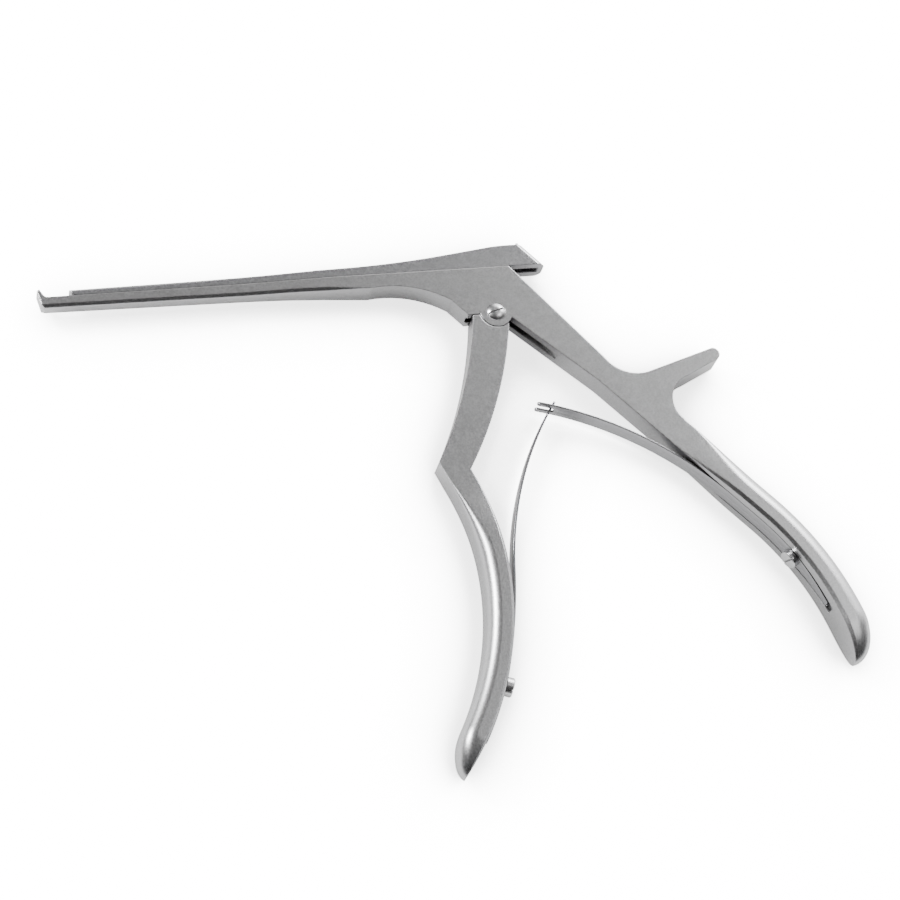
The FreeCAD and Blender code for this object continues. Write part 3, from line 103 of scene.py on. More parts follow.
def add_node(
    tree: bpy.types.NodeTree,
    kind: str,
    links: dict[str | int, bpy.types.NodeSocket] | None = None,
    inputs: dict[str | int, object] | None = None,
    **settings: object,
) -> bpy.types.Node:
    """Add one node with its settings, fixed inputs and incoming links.

    Args:
        tree: The node tree that gets the node.
        kind: The node's type name without its "ShaderNode" prefix.
        links: Output sockets to connect, by the name or number of the input they feed.
        inputs: Fixed values, by the name or number of their input.
        **settings: Properties of the node itself.

    Returns:
        The new node.
    """
    node = tree.nodes.new(f"ShaderNode{kind}")
    for name, setting in settings.items():
        setattr(node, name, setting)
    for name, fixed in (inputs or {}).items():
        node.inputs[name].default_value = fixed
    for name, source in (links or {}).items():
        tree.links.new(source, node.inputs[name])
    return node


def lapped(
    tree: bpy.types.NodeTree, normal: bpy.types.NodeSocket, full_tilt: float, no_tilt: float
) -> bpy.types.NodeSocket:
    """Level the nearly level faces, as lapping both sides of a forging on a flat stone does.

    A face tilted less than the first angle shines as if it were level, one tilted more than the
    second keeps its own normal, and between them the two blend.

    Args:
        tree: The node tree that gets the nodes.
        normal: The surface's own normal.
        full_tilt: Tilt from level, in degrees, up to which a face is levelled.
        no_tilt: Tilt from which a face is left alone.

    Returns:
        The levelled normal.
    """
    upward = add_node(tree, "SeparateXYZ", {"Vector": normal}).outputs["Z"]
    side = add_node(tree, "Math", {0: upward}, operation="SIGN").outputs["Value"]
    level = add_node(tree, "CombineXYZ", {"Z": side}).outputs["Vector"]
    levelness = add_node(tree, "Math", {0: upward}, operation="ABSOLUTE").outputs["Value"]
    cosines = {
        "From Min": float(np.cos(np.radians(no_tilt))),
        "From Max": float(np.cos(np.radians(full_tilt))),
    }
    share = add_node(
        tree, "MapRange", {"Value": levelness}, cosines, interpolation_type="SMOOTHSTEP"
    ).outputs["Result"]
    blend = add_node(tree, "Mix", {0: share, 4: normal, 5: level}, data_type="VECTOR").outputs[1]
    return add_node(tree, "VectorMath", {0: blend}, operation="NORMALIZE").outputs["Vector"]


def grid_faces(rows: int, columns: int) -> np.ndarray:
    """Corner numbers of a grid that is open along its rows and closed round its columns."""
    row, column = np.meshgrid(np.arange(rows - 1), np.arange(columns), indexing="ij")
    low, high = row * columns, (row + 1) * columns
    after = (column + 1) % columns
    corners = (low + column, low + after, high + after, high + column)
    return np.stack(corners, axis=-1).reshape(-1, 4)


def closed_tube(
    vertices: np.ndarray, centres: np.ndarray, rows: int, columns: int
) -> tuple[np.ndarray, np.ndarray]:
    """Close a tube of rings with a fan of faces at each end.

    Args:
        vertices: Points of the rings, ring after ring.
        centres: Middles of the first and the last ring.
        rows: Number of rings.
        columns: Points round each ring.

    Returns:
        All vertices, and four-sided faces in which a fan's triangle repeats its first corner.
    """
    walls = grid_faces(rows, columns)
    ring = np.arange(columns)
    after = (ring + 1) % columns
    base = (rows - 1) * columns
    first = np.full(columns, rows * columns)
    last = first + 1
    start = np.stack([first, after, ring, first], axis=1)
    end = np.stack([last, base + ring, base + after, last], axis=1)
    return np.concatenate([vertices, centres]), np.concatenate([walls, start, end])


def split_fans(faces: np.ndarray) -> tuple[np.ndarray, np.ndarray]:
    """Part the four-sided faces from the triangles, whose last corner is their first again."""
    fans = faces[:, 0] == faces[:, 3]
    return faces[~fans], faces[fans][:, :3]


def shaded_object(name: str, vertices: np.ndarray, faces: list[np.ndarray]) -> bpy.types.Object:
    """Make an object that is shaded smooth except at its sharp corners.

    Args:
        name: The object's name.
        vertices: Places in metres, one row each.
        faces: Groups of faces with one count of corners each.

    Returns:
        The new object, already in the scene.
    """
    mesh = bpy.data.meshes.new(name)
    mesh.from_pydata(vertices.tolist(), [], [face for group in faces for face in group.tolist()])
    mesh.polygons.foreach_set("use_smooth", np.ones(len(mesh.polygons), dtype=bool))
    mesh.set_sharp_from_angle(angle=np.radians(SHARP_BEND))
    made = bpy.data.objects.new(name, mesh)
    bpy.context.scene.collection.objects.link(made)
    return made


def in_scene(item: bpy.types.Object, points: np.ndarray) -> np.ndarray:
    """Carry points of an object, row by row, to where they are in the scene."""
    turn = np.array(item.matrix_world)
    return points @ turn[:3, :3].T + turn[:3, 3]


def unit(angle: float | np.ndarray) -> np.ndarray:
    """Unit vectors in the side plane at angles in degrees, as rows of x and y."""
    turned = np.radians(angle)
    return np.stack([np.cos(turned), np.sin(turned)], axis=-1)


def eased(share: np.ndarray) -> np.ndarray:
    """Rise from 0 to 1 with no kink at either end: three squares less two cubes."""
    share = np.clip(share, 0, 1)
    return share * share * (3 - 2 * share)


# Finishes


class Lay(Enum):
    """Direction of the finishing marks, as stretch factors of their pattern along X, Y and Z."""

    EVEN = (1.0, 1.0, 1.0)
    ALONG_X = (0.08, 1.0, 1.0)
    ALONG_Y = (1.0, 0.08, 1.0)


@dataclass(frozen=True)
class Steel:
    """Bare stainless steel: finished by hand, so its gloss wanders a little from place to place.

    Attributes:
        name: What the real finish is called.
        colour: sRGB colour of the metal's reflection.
        roughness: Mean roughness of the finish.
        wander: How far the roughness drifts from its mean.
        lay: Direction of the finishing marks.
        grit_mm: Width of one finishing mark; real ones are finer and wouldn't show.
        mark_depth_mm: Depth of the finishing marks.
        edge_mm: Radius that the edges were broken to.
        cloud_mm: Size of the soft light and dark clouds left by polishing.
        cloud_strength: How strongly the clouds change the colour.
        cloud_range: Part of the pattern's range over which the gloss wanders.
        painted_shade_reach_mm: Width of the slots and gaps in which shade is painted into the
            colour.
        painted_shade_strength: Share of the reflection that the painted shade takes off deep in
            such a gap.
        painted_shade_range: Openness at which the painted shade is darkest, and at which it ends.
        level_tilt: Tilt in degrees up to which a face was lapped level.
        free_tilt: Tilt from which a face was left as forged.
    """

    name: str
    colour: str = "#A5A5A6"
    roughness: float = 0.33
    wander: float = 0.04
    lay: Lay = Lay.EVEN
    grit_mm: float = 0.25
    mark_depth_mm: float = 0.004
    edge_mm: float = 0.25
    cloud_mm: float = 0.6
    cloud_strength: float = 0.2
    cloud_range: tuple[float, float] = (0.3, 0.7)
    painted_shade_reach_mm: float = 1.2
    painted_shade_strength: float = 0.75
    painted_shade_range: tuple[float, float] = (0.15, 0.75)
    level_tilt: float = 3.0
    free_tilt: float = 8.0

    def material(self) -> bpy.types.Material:
        """Build the finish as a node material, or find it if another piece has it already.

        Returns:
            A material whose patterns are read on Object coordinates.
        """
        known = bpy.data.materials.get(self.name)
        if known:
            return known
        made = bpy.data.materials.new(self.name)
        made.use_nodes = True
        tree = made.node_tree
        tree.nodes.clear()
        place = add_node(tree, "TexCoord").outputs["Object"]
        stretched = add_node(tree, "Mapping", {"Vector": place}, {"Scale": self.lay.value})
        marks = add_node(
            tree,
            "TexNoise",
            {"Vector": stretched.outputs["Vector"]},
            {"Scale": 1 / (self.grit_mm * MM), "Detail": 3.0, "Roughness": 0.6},
        )
        clouds = add_node(
            tree,
            "TexNoise",
            {"Vector": place},
            {"Scale": 1 / (self.cloud_mm * MM), "Detail": 4.0, "Roughness": 0.55},
        ).outputs["Fac"]
        gloss = add_node(
            tree,
            "MapRange",
            {"Value": clouds},
            {
                "From Min": self.cloud_range[0],
                "From Max": self.cloud_range[1],
                "To Min": self.roughness - self.wander,
                "To Max": self.roughness + self.wander,
            },
        )
        bright = linear(self.colour)
        # The pattern keeps to the middle of its range, so its dark end lies twice as deep
        dull = tuple(part * (1 - self.cloud_strength * 2) for part in bright[:3]) + (1.0,)
        tone = add_node(tree, "Mix", {"Factor": clouds}, {6: dull, 7: bright}, data_type="RGBA")
        # Painted shade: ambient occlusion darkens the colour in slots and gaps
        reach = {"Distance": self.painted_shade_reach_mm * MM}
        occlusion = add_node(tree, "AmbientOcclusion", None, reach, samples=8)
        shade = add_node(
            tree,
            "MapRange",
            {"Value": occlusion.outputs["AO"]},
            {
                "From Min": self.painted_shade_range[0],
                "From Max": self.painted_shade_range[1],
                "To Min": 1 - self.painted_shade_strength,
                "To Max": 1.0,
            },
        )
        shaded = add_node(
            tree,
            "Mix",
            {6: tone.outputs[2], 7: shade.outputs["Result"]},
            {0: 1.0},
            data_type="RGBA",
            blend_type="MULTIPLY",
        )
        edge = add_node(tree, "Bevel", None, {"Radius": self.edge_mm * MM}, samples=6)
        normal = lapped(tree, edge.outputs["Normal"], self.level_tilt, self.free_tilt)
        relief = add_node(
            tree,
            "Bump",
            {"Height": marks.outputs["Fac"], "Normal": normal},
            {"Strength": 0.5, "Distance": self.mark_depth_mm * MM},
        )
        shader = add_node(
            tree,
            "BsdfPrincipled",
            {
                "Base Color": shaded.outputs[2],
                "Roughness": gloss.outputs["Result"],
                "Normal": relief.outputs["Normal"],
            },
            {"Metallic": 1.0},
        )
        add_node(tree, "OutputMaterial", {"Surface": shader.outputs["BSDF"]})
        return made


# Forged and milled stainless steel, matt-brushed along the shaft: soft grey with faint clouds
SATIN_FORGING = Steel("satin brushed forged stainless steel", lay=Lay.ALONG_X, edge_mm=0.5)
# The sliding upper shaft is ground along its length, a little darker and glossier
GROUND_SLIDE = Steel(
    "ground stainless steel slide",
    colour="#9E9EA0",
    roughness=0.32,
    lay=Lay.ALONG_X,
    edge_mm=0.5,
)
# The leaves are rolled strip, hardened and polished along their length: the darkest steel here
ROLLED_SPRING = Steel(
    "rolled stainless spring strip",
    colour="#8E8E90",
    roughness=0.3,
    wander=0.02,
    lay=Lay.ALONG_Y,
    mark_depth_mm=0.001,
    edge_mm=0.15,
    cloud_strength=0.1,
)
# Screws and the stop pin are turned and polished: the lightest steel here
TURNED_SCREW = Steel(
    "turned stainless screw",
    colour="#C4C4C5",
    roughness=0.3,
    wander=0.02,
    edge_mm=0.15,
)


# Grips


@dataclass(frozen=True)
class FacePath:
    """Inner face of a grip, followed down: a straight stretch and a tangent arc turning right.

    Attributes:
        start: Where the path starts, in millimetres.
        heading: Direction of travel at the start.
        straight: Length of the straight stretch, in millimetres.
        radius: Radius of the arc, in millimetres.
        length: Whole length, in millimetres.
        side: 1 where the grip's metal lies left of the path, -1 where it lies right.
    """

    start: tuple[float, float]
    heading: float
    straight: float
    radius: float
    length: float
    side: int

    def heading_at(self, run: np.ndarray) -> np.ndarray:
        """Direction of travel after each run: the arc turns by its length over its radius."""
        return self.heading - np.degrees(np.maximum(run - self.straight, 0) / self.radius)

    def point(self, run: np.ndarray, depth: float | np.ndarray) -> np.ndarray:
        """Places along the path, moved into the grip.

        Straight stretch: start plus run times the heading. Arc: its centre plus the radius times
        the direction square to the heading.

        Args:
            run: Lengths along the path, in millimetres.
            depth: Distance into the grip's metal, in millimetres.

        Returns:
            Rows of x and y in millimetres.
        """
        run = np.asarray(run, dtype=float)
        along = np.minimum(run, self.straight)
        on_line = np.array(self.start) + along[..., None] * unit(self.heading)
        knee = np.array(self.start) + self.straight * unit(self.heading)
        centre = knee + self.radius * unit(self.heading - 90)
        on_arc = centre + self.radius * unit(self.heading_at(run) + 90)
        face = np.where((run > self.straight)[..., None], on_arc, on_line)
        return face + np.asarray(depth)[..., None] * unit(self.heading_at(run) + 90 * self.side)


@dataclass(frozen=True)
class Bed:
    """Shallow bed that a leaf spring lies in, cut along the middle of a grip's inner face.

    Every profile is a list of runs along the face and sizes there, in millimetres, with straight
    lines between them.

    Attributes:
        depth: Depth of the bed.
        near: Distance of its upper wall from the grip's middle plane.
        far: Distance of its lower wall.
    """

    depth: Profile
    near: Profile
    far: Profile

    @staticmethod
    def at(profile: Profile, run: np.ndarray) -> np.ndarray:
        """Sizes of one profile at the runs given."""
        places, sizes = np.array(profile).T
        return np.interp(run, places, sizes)


@dataclass(frozen=True)
class Grip:
    """A grip that swells out of its flat arm, keeps one section and closes in a rounded tip.

    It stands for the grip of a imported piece, whose arm is kept as packed. Every length is in
    millimetres.

    Attributes:
        node: CAD node that it stands for.
        body: Body that it moves with.
        path: Its inner face.
        root: Outer corner of the arm's end.
        depth: Distance from its inner face to its back.
        edge: Chamfer along its inner face.
        rounding: Radius of its outer edges.
        bed: Bed of its leaf spring.
        arm_thickness: Thickness of the flat arm.
        width: Its own width.
        swell: Length over which it widens.
        corner_blend: Length over which the slanting end of the arm turns square to the path.
        tip: Length of its rounded tip.
        sharp: Smallest chamfer.
        least_rounding: Radius of the outer edges where the grip leaves the arm.
        most_round: Largest share of half the width that the rounding may take.
        most_least: Largest share of half the width that the least rounding may take.
        cut_below: How far past the root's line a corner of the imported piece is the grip's.
        cut_reach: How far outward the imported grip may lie, over its depth.
        body_rows: Cross-sections from the root to the tip's start.
        tip_rows: Cross-sections of the tip.
        corner_steps: Points round each outer edge.
        finish: Its steel.
    """

    node: str
    body: str
    path: FacePath
    root: tuple[float, float]
    depth: float
    edge: float
    rounding: float
    bed: Bed
    arm_thickness: float = 8.0
    width: float = 13.6
    swell: float = 30.0
    corner_blend: float = 22.0
    tip: float = 14.0
    sharp: float = 0.002
    least_rounding: float = 0.3
    most_round: float = 0.92
    most_least: float = 0.9
    cut_below: float = 0.03
    cut_reach: float = 1.5
    body_rows: int = 160
    tip_rows: int = 50
    corner_steps: int = 12
    finish: Steel = SATIN_FORGING

    def runs(self) -> np.ndarray:
        """Runs of the cross-sections, closer together at the tip and at the bed's ends."""
        body_end = self.path.length - self.tip
        body = np.linspace(0, body_end, self.body_rows)
        swept = np.radians(np.linspace(0, NEARLY_QUARTER, self.tip_rows))
        tip = body_end + self.tip * np.sin(swept)
        bed = [place for place, _ in (*self.bed.depth, *self.bed.near, *self.bed.far)]
        return np.unique(np.concatenate([body, tip, bed]))

    def sections(self) -> np.ndarray:
        """Points of all cross-sections, row by row.

        Each one is a flat inner face with the bed, two chamfers, two flat sides, two quarter
        rounds and a flat back. At the tip all sizes shrink as the height of an ellipse does.

        Returns:
            Places in millimetres, by cross-section and by point round it.
        """
        run = self.runs()
        past_body = np.clip((run - self.path.length + self.tip) / self.tip, 0, 1)
        shrink = np.sqrt(1 - past_body**2)
        grown = eased(run / self.swell)
        slant = 1 - eased(run / self.corner_blend)
        reach = np.array(self.root) - np.array(self.path.start)
        ahead = float(reach @ unit(self.path.heading))
        inward = float(reach @ unit(self.path.heading + 90 * self.path.side))
        depth = (self.depth + (inward - self.depth) * slant) * shrink
        half = (self.arm_thickness + (self.width - self.arm_thickness) * grown) * shrink / 2
        edge = np.maximum(self.edge * grown * shrink, self.sharp)
        rounding = np.minimum(self.rounding * grown, depth - 2 * edge)
        rounding = np.minimum(rounding, self.most_round * half)
        least = np.minimum(self.least_rounding, self.most_least * half)
        rounding = np.maximum(rounding, least)
        near = np.minimum(Bed.at(self.bed.near, run), half - edge - self.sharp)
        far = np.minimum(Bed.at(self.bed.far, run), half - edge - self.sharp)
        bed = Bed.at(self.bed.depth, run)
        level = np.zeros_like(run)
        quarter = np.radians(np.linspace(0, 90, self.corner_steps))
        arc_across = (depth - rounding)[:, None] + rounding[:, None] * np.sin(quarter)
        arc_height = (half - rounding)[:, None] + rounding[:, None] * np.cos(quarter)
        face = (level, level, bed, bed, level, level, edge)
        heights = (edge - half, -far, -far, near, near, half - edge, half)
        across = np.column_stack([*face, arc_across, arc_across[:, ::-1], edge])
        height = np.column_stack([*heights, arc_height, -arc_height[:, ::-1], -half])
        inner = self.path.point(run, 0.0)
        outer = self.path.point(run + ahead * slant, depth)
        share = (across / depth[:, None])[..., None]
        plan = inner[:, None, :] + share * (outer - inner)[:, None, :]
        return np.concatenate([plan, (MIDDLE_MM + height)[..., None]], axis=-1)

    def skin(self) -> tuple[np.ndarray, np.ndarray]:
        """Skin of the grip, open where it meets the arm.

        Returns:
            Vertices in metres, and four-sided faces that look outward.
        """
        rings = self.sections()
        rows, columns, _ = rings.shape
        centres = rings[[0, -1]].mean(axis=1)
        vertices, faces = closed_tube(rings.reshape(-1, 3) * MM, centres * MM, rows, columns)
        faces = faces[faces[:, 0] != rows * columns]
        return vertices, faces[:, ::-1] if self.path.side > 0 else faces

    def arm(self) -> tuple[np.ndarray, np.ndarray]:
        """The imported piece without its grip.

        The grip is what lies past the line through the root's two corners and isn't further out
        than the grip can reach, so the rest of the frame beside it stays.

        Returns:
            Places of all its vertices in metres, and the triangles that stay.
        """
        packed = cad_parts[self.node]
        places = np.empty(len(packed.data.vertices) * 3)
        packed.data.vertices.foreach_get("co", places)
        places = in_scene(packed, places.reshape(-1, 3))
        corners = np.empty(len(packed.data.loops), dtype=int)
        packed.data.loops.foreach_get("vertex_index", corners)
        corners = corners.reshape(-1, 3)
        offset = places[:, :2] / MM - np.array(self.path.start)
        outward = np.array(self.root) - np.array(self.path.start)
        outward = outward / np.hypot(*outward)
        downward = np.array([outward[1], -outward[0]]) * self.path.side
        below = offset @ downward > self.cut_below
        in_grip = below & (offset @ outward < self.cut_reach * self.depth)
        return places, corners[~in_grip[corners].any(axis=1)]

    def build(self, steel: bpy.types.Material) -> bpy.types.Object:
        """Make the arm and the grip as one object that stands for the CAD node.

        Args:
            steel: Material of the finish.

        Returns:
            The new object, riding on the grip's body.
        """
        places, triangles = self.arm()
        skin, walls = self.skin()
        quads, fans = split_fans(walls + len(places))
        vertices = np.concatenate([places, skin])
        made = shaded_object(f"{self.node}_forging", vertices, [triangles, quads, fans])
        made.data.materials.append(steel)
        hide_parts(self.node)
        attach(made, self.body)
        return made


# Leaf springs


class LeafEnd(Enum):
    """How a leaf ends at the crossing."""

    FORK = "fork"
    TONGUE = "tongue"


@dataclass(frozen=True)
class LeafSpring:
    """A leaf that is seated on a grip, bends away from it and meets the other leaf.

    Every length is in millimetres.

    Attributes:
        node: CAD node that it stands for.
        path: Face that it is seated on.
        seat_low: Its lower end, as a run along the path.
        seat_high: Where it leaves the path.
        depth: Depth of its middle line in the grip.
        bends: Radius and turn of each free arc; a positive turn goes left.
        end: How it ends at the crossing.
        home: Body that its seat rides on. Not used.
        away: Body that the other leaf's seat rides on. Not used.
        width: Width of its middle.
        width_low: Width of its lower end.
        taper: Length over which it narrows to its lower end.
        low_corner: Radius of its lower end's corners.
        thickness: Its thickness.
        edge_round: Radius of its long edges.
        end_length: Length of its tongue or prongs.
        end_width: Width of its tongue.
        shoulder: Length over which it narrows to its tongue.
        shoulder_in: How much of the shoulder the tongue's length takes in.
        prong_gap: Width of the gap between its prongs.
        slit: Half width of the gap from which the prongs' inner edges are rounded.
        sharp: Radius of an inner edge that isn't rounded.
        blunt: Share of the squared width that a rounded tip keeps at its very end.
        narrowest: Width that the roundings never go under.
        samples: Cross-sections along it, apart from the closer ones at its ends.
        low_samples: Closer cross-sections at its lower end.
        low_zone: Length that they take up.
        tip_zone: Length of the closer ones at its tip, over the end's length.
        corner_steps: Points round each long edge.
        finish: Its steel.
    """

    node: str
    path: FacePath
    seat_low: float
    seat_high: float
    depth: float
    bends: Profile
    end: LeafEnd
    home: str
    away: str
    width: float = 5.8
    width_low: float = 2.2
    taper: float = 20.0
    low_corner: float = 0.9
    thickness: float = 0.7
    edge_round: float = 0.16
    end_length: float = 6.0
    end_width: float = 2.0
    shoulder: float = 1.5
    shoulder_in: float = 1.0
    prong_gap: float = 2.1
    slit: float = 0.01
    sharp: float = 1e-4
    blunt: float = 0.02
    narrowest: float = 1e-3
    samples: int = 220
    low_samples: int = 16
    low_zone: float = 1.5
    tip_zone: float = 1.2
    corner_steps: int = 4
    finish: Steel = ROLLED_SPRING

    def middle_line(self) -> tuple[np.ndarray, np.ndarray, np.ndarray]:
        """Middle line of the leaf, from its lower end to its tip.

        It follows the grip's face and then goes through one tangent arc after the other.

        Returns:
            Run of each sample in millimetres, its place, and its heading in degrees.
        """
        stretch = self.samples // 3
        seat = np.linspace(self.seat_low, self.seat_high, stretch)
        places = [self.path.point(seat, self.depth)]
        headings = [self.path.heading_at(seat) + 180]
        for radius, turn in self.bends:
            swept = np.linspace(0, turn, stretch)[1:]
            side = np.sign(turn)
            start, heading = places[-1][-1], headings[-1][-1]
            centre = start + radius * unit(heading + 90 * side)
            places.append(centre + radius * unit(heading + swept - 90 * side))
            headings.append(heading + swept)
        place = np.concatenate(places)
        heading = np.concatenate(headings)
        run = np.concatenate([[0], np.cumsum(np.hypot(*np.diff(place, axis=0).T))])
        total = run[-1]
        tip_zone = self.tip_zone * self.end_length
        near_tip = total - tip_zone * (1 - np.linspace(0, 1, self.samples // 2) ** 0.5)
        near_low = self.low_zone * np.linspace(0, 1, self.low_samples) ** 2
        even = np.linspace(0, total, self.samples)
        wanted = np.unique(np.concatenate([even, near_tip, near_low]))
        spread = [np.interp(wanted, run, column) for column in (*place.T, heading)]
        return wanted, np.stack(spread[:2], axis=1), spread[2]

    def half_width(self, run: np.ndarray) -> np.ndarray:
        """Half the leaf's width: it narrows towards its lower end, whose corners are rounded."""
        grown = np.clip(run / self.taper, 0, 1)
        half = (self.width_low + (self.width - self.width_low) * grown) / 2
        left = 1 - np.clip(run / self.low_corner, 0, 1)
        return half - self.low_corner * (1 - np.sqrt(1 - left**2))

    def tip_share(self, to_tip: np.ndarray, radius: float | np.ndarray) -> np.ndarray:
        """Share of the width that a half round tip leaves at each distance from its end."""
        left = 1 - (1 - np.clip(to_tip / radius, 0, 1)) ** 2
        return np.sqrt(np.clip(left, self.blunt, 1))

    def shell(
        self,
        line: tuple[np.ndarray, np.ndarray, np.ndarray],
        low: np.ndarray,
        high: np.ndarray,
        inner_round: np.ndarray,
    ) -> tuple[np.ndarray, np.ndarray]:
        """Closed strip between two edges of the leaf.

        Every cross-section is a rectangle of the leaf's thickness with rounded corners, set
        square to the middle line.

        Args:
            line: Runs, places and headings of the middle line.
            low: Height of the lower edge from the leaf's middle, for each sample.
            high: Height of the upper edge.
            inner_round: Radius of the lower edge's two corners.

        Returns:
            Vertices in millimetres and four-sided faces.
        """
        _, place, heading = line
        normal = unit(heading + 90)
        half = self.thickness / 2
        outer = np.minimum(self.edge_round, np.maximum(high - low, self.narrowest) / 2)
        inner = np.minimum(inner_round, outer)
        corners = ((0, 1, 1), (90, -1, 1), (180, -1, -1), (270, 1, -1))
        quarter = np.linspace(0, 90, self.corner_steps)
        angle = np.radians(np.concatenate([quarter + turn for turn, _, _ in corners]))
        across = np.repeat([side for _, side, _ in corners], self.corner_steps)
        above = np.repeat([level > 0 for _, _, level in corners], self.corner_steps)
        radius = np.where(above, outer[:, None], inner[:, None])
        level = np.where(above, (high - outer)[:, None], (low + inner)[:, None])
        sideways = across * (half - radius) + radius * np.cos(angle)
        upward = level + radius * np.sin(angle)
        flat = place[:, None, :] + sideways[..., None] * normal[:, None, :]
        vertices = np.concatenate([flat, (MIDDLE_MM + upward)[..., None]], axis=-1)
        rows, columns = upward.shape
        centres = vertices[[0, -1]].mean(axis=1)
        return closed_tube(vertices.reshape(-1, 3), centres, rows, columns)

    def strips(
        self, line: tuple[np.ndarray, np.ndarray, np.ndarray]
    ) -> list[tuple[np.ndarray, np.ndarray]]:
        """One strip that ends in a tongue, or the two mirrored strips of a fork.

        Args:
            line: Runs, places and headings of the middle line.

        Returns:
            Vertices in millimetres and four-sided faces of each strip.
        """
        run = line[0]
        half = self.half_width(run)
        to_tip = run[-1] - run
        if self.end is LeafEnd.TONGUE:
            narrow = self.end_width / 2
            step = eased((to_tip - self.end_length + self.shoulder_in) / self.shoulder)
            half = narrow + (half - narrow) * step
            half = half * self.tip_share(to_tip, narrow)
            return [self.shell(line, -half, half, np.full_like(run, self.edge_round))]
        gap = self.prong_gap / 2
        notch = np.clip((self.end_length - to_tip) / gap, 0, 1)
        inner = gap * np.sqrt(1 - (1 - notch) ** 2)
        middle = (half + inner) / 2
        reach = (half - inner) / 2 * self.tip_share(to_tip, (half - gap) / 2)
        rounding = np.where(inner > self.slit, self.edge_round, self.sharp)
        upper, faces = self.shell(line, middle - reach, middle + reach, rounding)
        lower = upper * [1, 1, -1] + [0, 0, 2 * MIDDLE_MM]
        return [(upper, faces), (lower, faces[:, ::-1])]

    def build(self) -> bpy.types.Object:
        """Make the leaf and give it its steel.

        Returns:
            The leaf as one object that stands for its CAD node.
        """
        line = self.middle_line()
        vertices = []
        faces = []
        count = 0
        for corners, sides in self.strips(line):
            vertices.append(corners)
            faces.append(sides + count)
            count += len(corners)
        quads, fans = split_fans(np.concatenate(faces))
        made = shaded_object(f"{self.node}_leaf", np.concatenate(vertices) * MM, [quads, fans])
        made.data.materials.append(self.finish.material())
        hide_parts(self.node)
        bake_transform(made)
        return made


# Stop pin


@dataclass(frozen=True)
class StopPin:
    """The short pin that stands out of the slide's crown, with a domed end.

    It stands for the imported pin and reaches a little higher, so that it shows above the slide.

    Attributes:
        node: CAD node that it stands for.
        body: Body that it moves with.
        extra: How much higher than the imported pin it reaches, in millimetres.
        dome: Height of its domed end, over its radius.
        rows: Rings of the dome.
        columns: Points round it.
        finish: Its steel.
    """

    node: str = "slide_pin"
    body: str = "slide"
    extra: float = 1.0
    dome: float = 0.6
    rows: int = 24
    columns: int = 40
    finish: Steel = TURNED_SCREW

    def build(self) -> bpy.types.Object:
        """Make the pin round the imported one's axis, which runs along +Y.

        The radius stays whole up to the dome and then follows a quarter circle to the middle.

        Returns:
            The pin, standing for its CAD node.
        """
        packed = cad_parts[self.node]
        box = in_scene(packed, np.array([tuple(corner) for corner in packed.bound_box]))
        low, high = box.min(axis=0), box.max(axis=0)
        centre = (low + high) / 2
        radius = (high[0] - low[0]) / 2
        dome = radius * self.dome
        swept = np.radians(np.linspace(0, NEARLY_QUARTER, self.rows))
        top = high[1] + self.extra * MM
        reach = np.concatenate([[low[1]], top - dome + dome * np.sin(swept)])
        girth = np.concatenate([[radius], radius * np.cos(swept)])
        turned = np.linspace(0, 2 * np.pi, self.columns, endpoint=False)
        rings = np.stack(
            [
                centre[0] + girth[:, None] * np.sin(turned),
                np.broadcast_to(reach[:, None], (len(reach), self.columns)),
                centre[2] + girth[:, None] * np.cos(turned),
            ],
            axis=-1,
        )
        centres = rings[[0, -1]].mean(axis=1)
        vertices, faces = closed_tube(rings.reshape(-1, 3), centres, len(reach), self.columns)
        quads, fans = split_fans(faces)
        made = shaded_object(f"{self.node}_turned", vertices, [quads, fans])
        made.data.materials.append(self.finish.material())
        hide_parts(self.node)
        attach(made, self.body)
        return made


# Studio


@dataclass(frozen=True)
class Lamp:
    """A square soft lamp.

    Attributes:
        name: Its name.
        place_mm: Where it hangs.
        size_mm: Length of its sides.
        watts: Its power.
    """

    name: str
    place_mm: Place
    size_mm: float
    watts: float

    def hang(self, aim_mm: Place) -> None:
        """Hang the lamp.

        Args:
            aim_mm: Place that it points at.
        """
        data = bpy.data.lights.new(self.name, "AREA")
        data.size = self.size_mm * MM
        data.energy = self.watts
        made = bpy.data.objects.new(self.name, data)
        made.location = Vector(self.place_mm) * MM
        target = Vector(aim_mm) * MM
        made.rotation_euler = (target - made.location).to_track_quat("-Z", "Y").to_euler()
        bpy.context.scene.collection.objects.link(made)


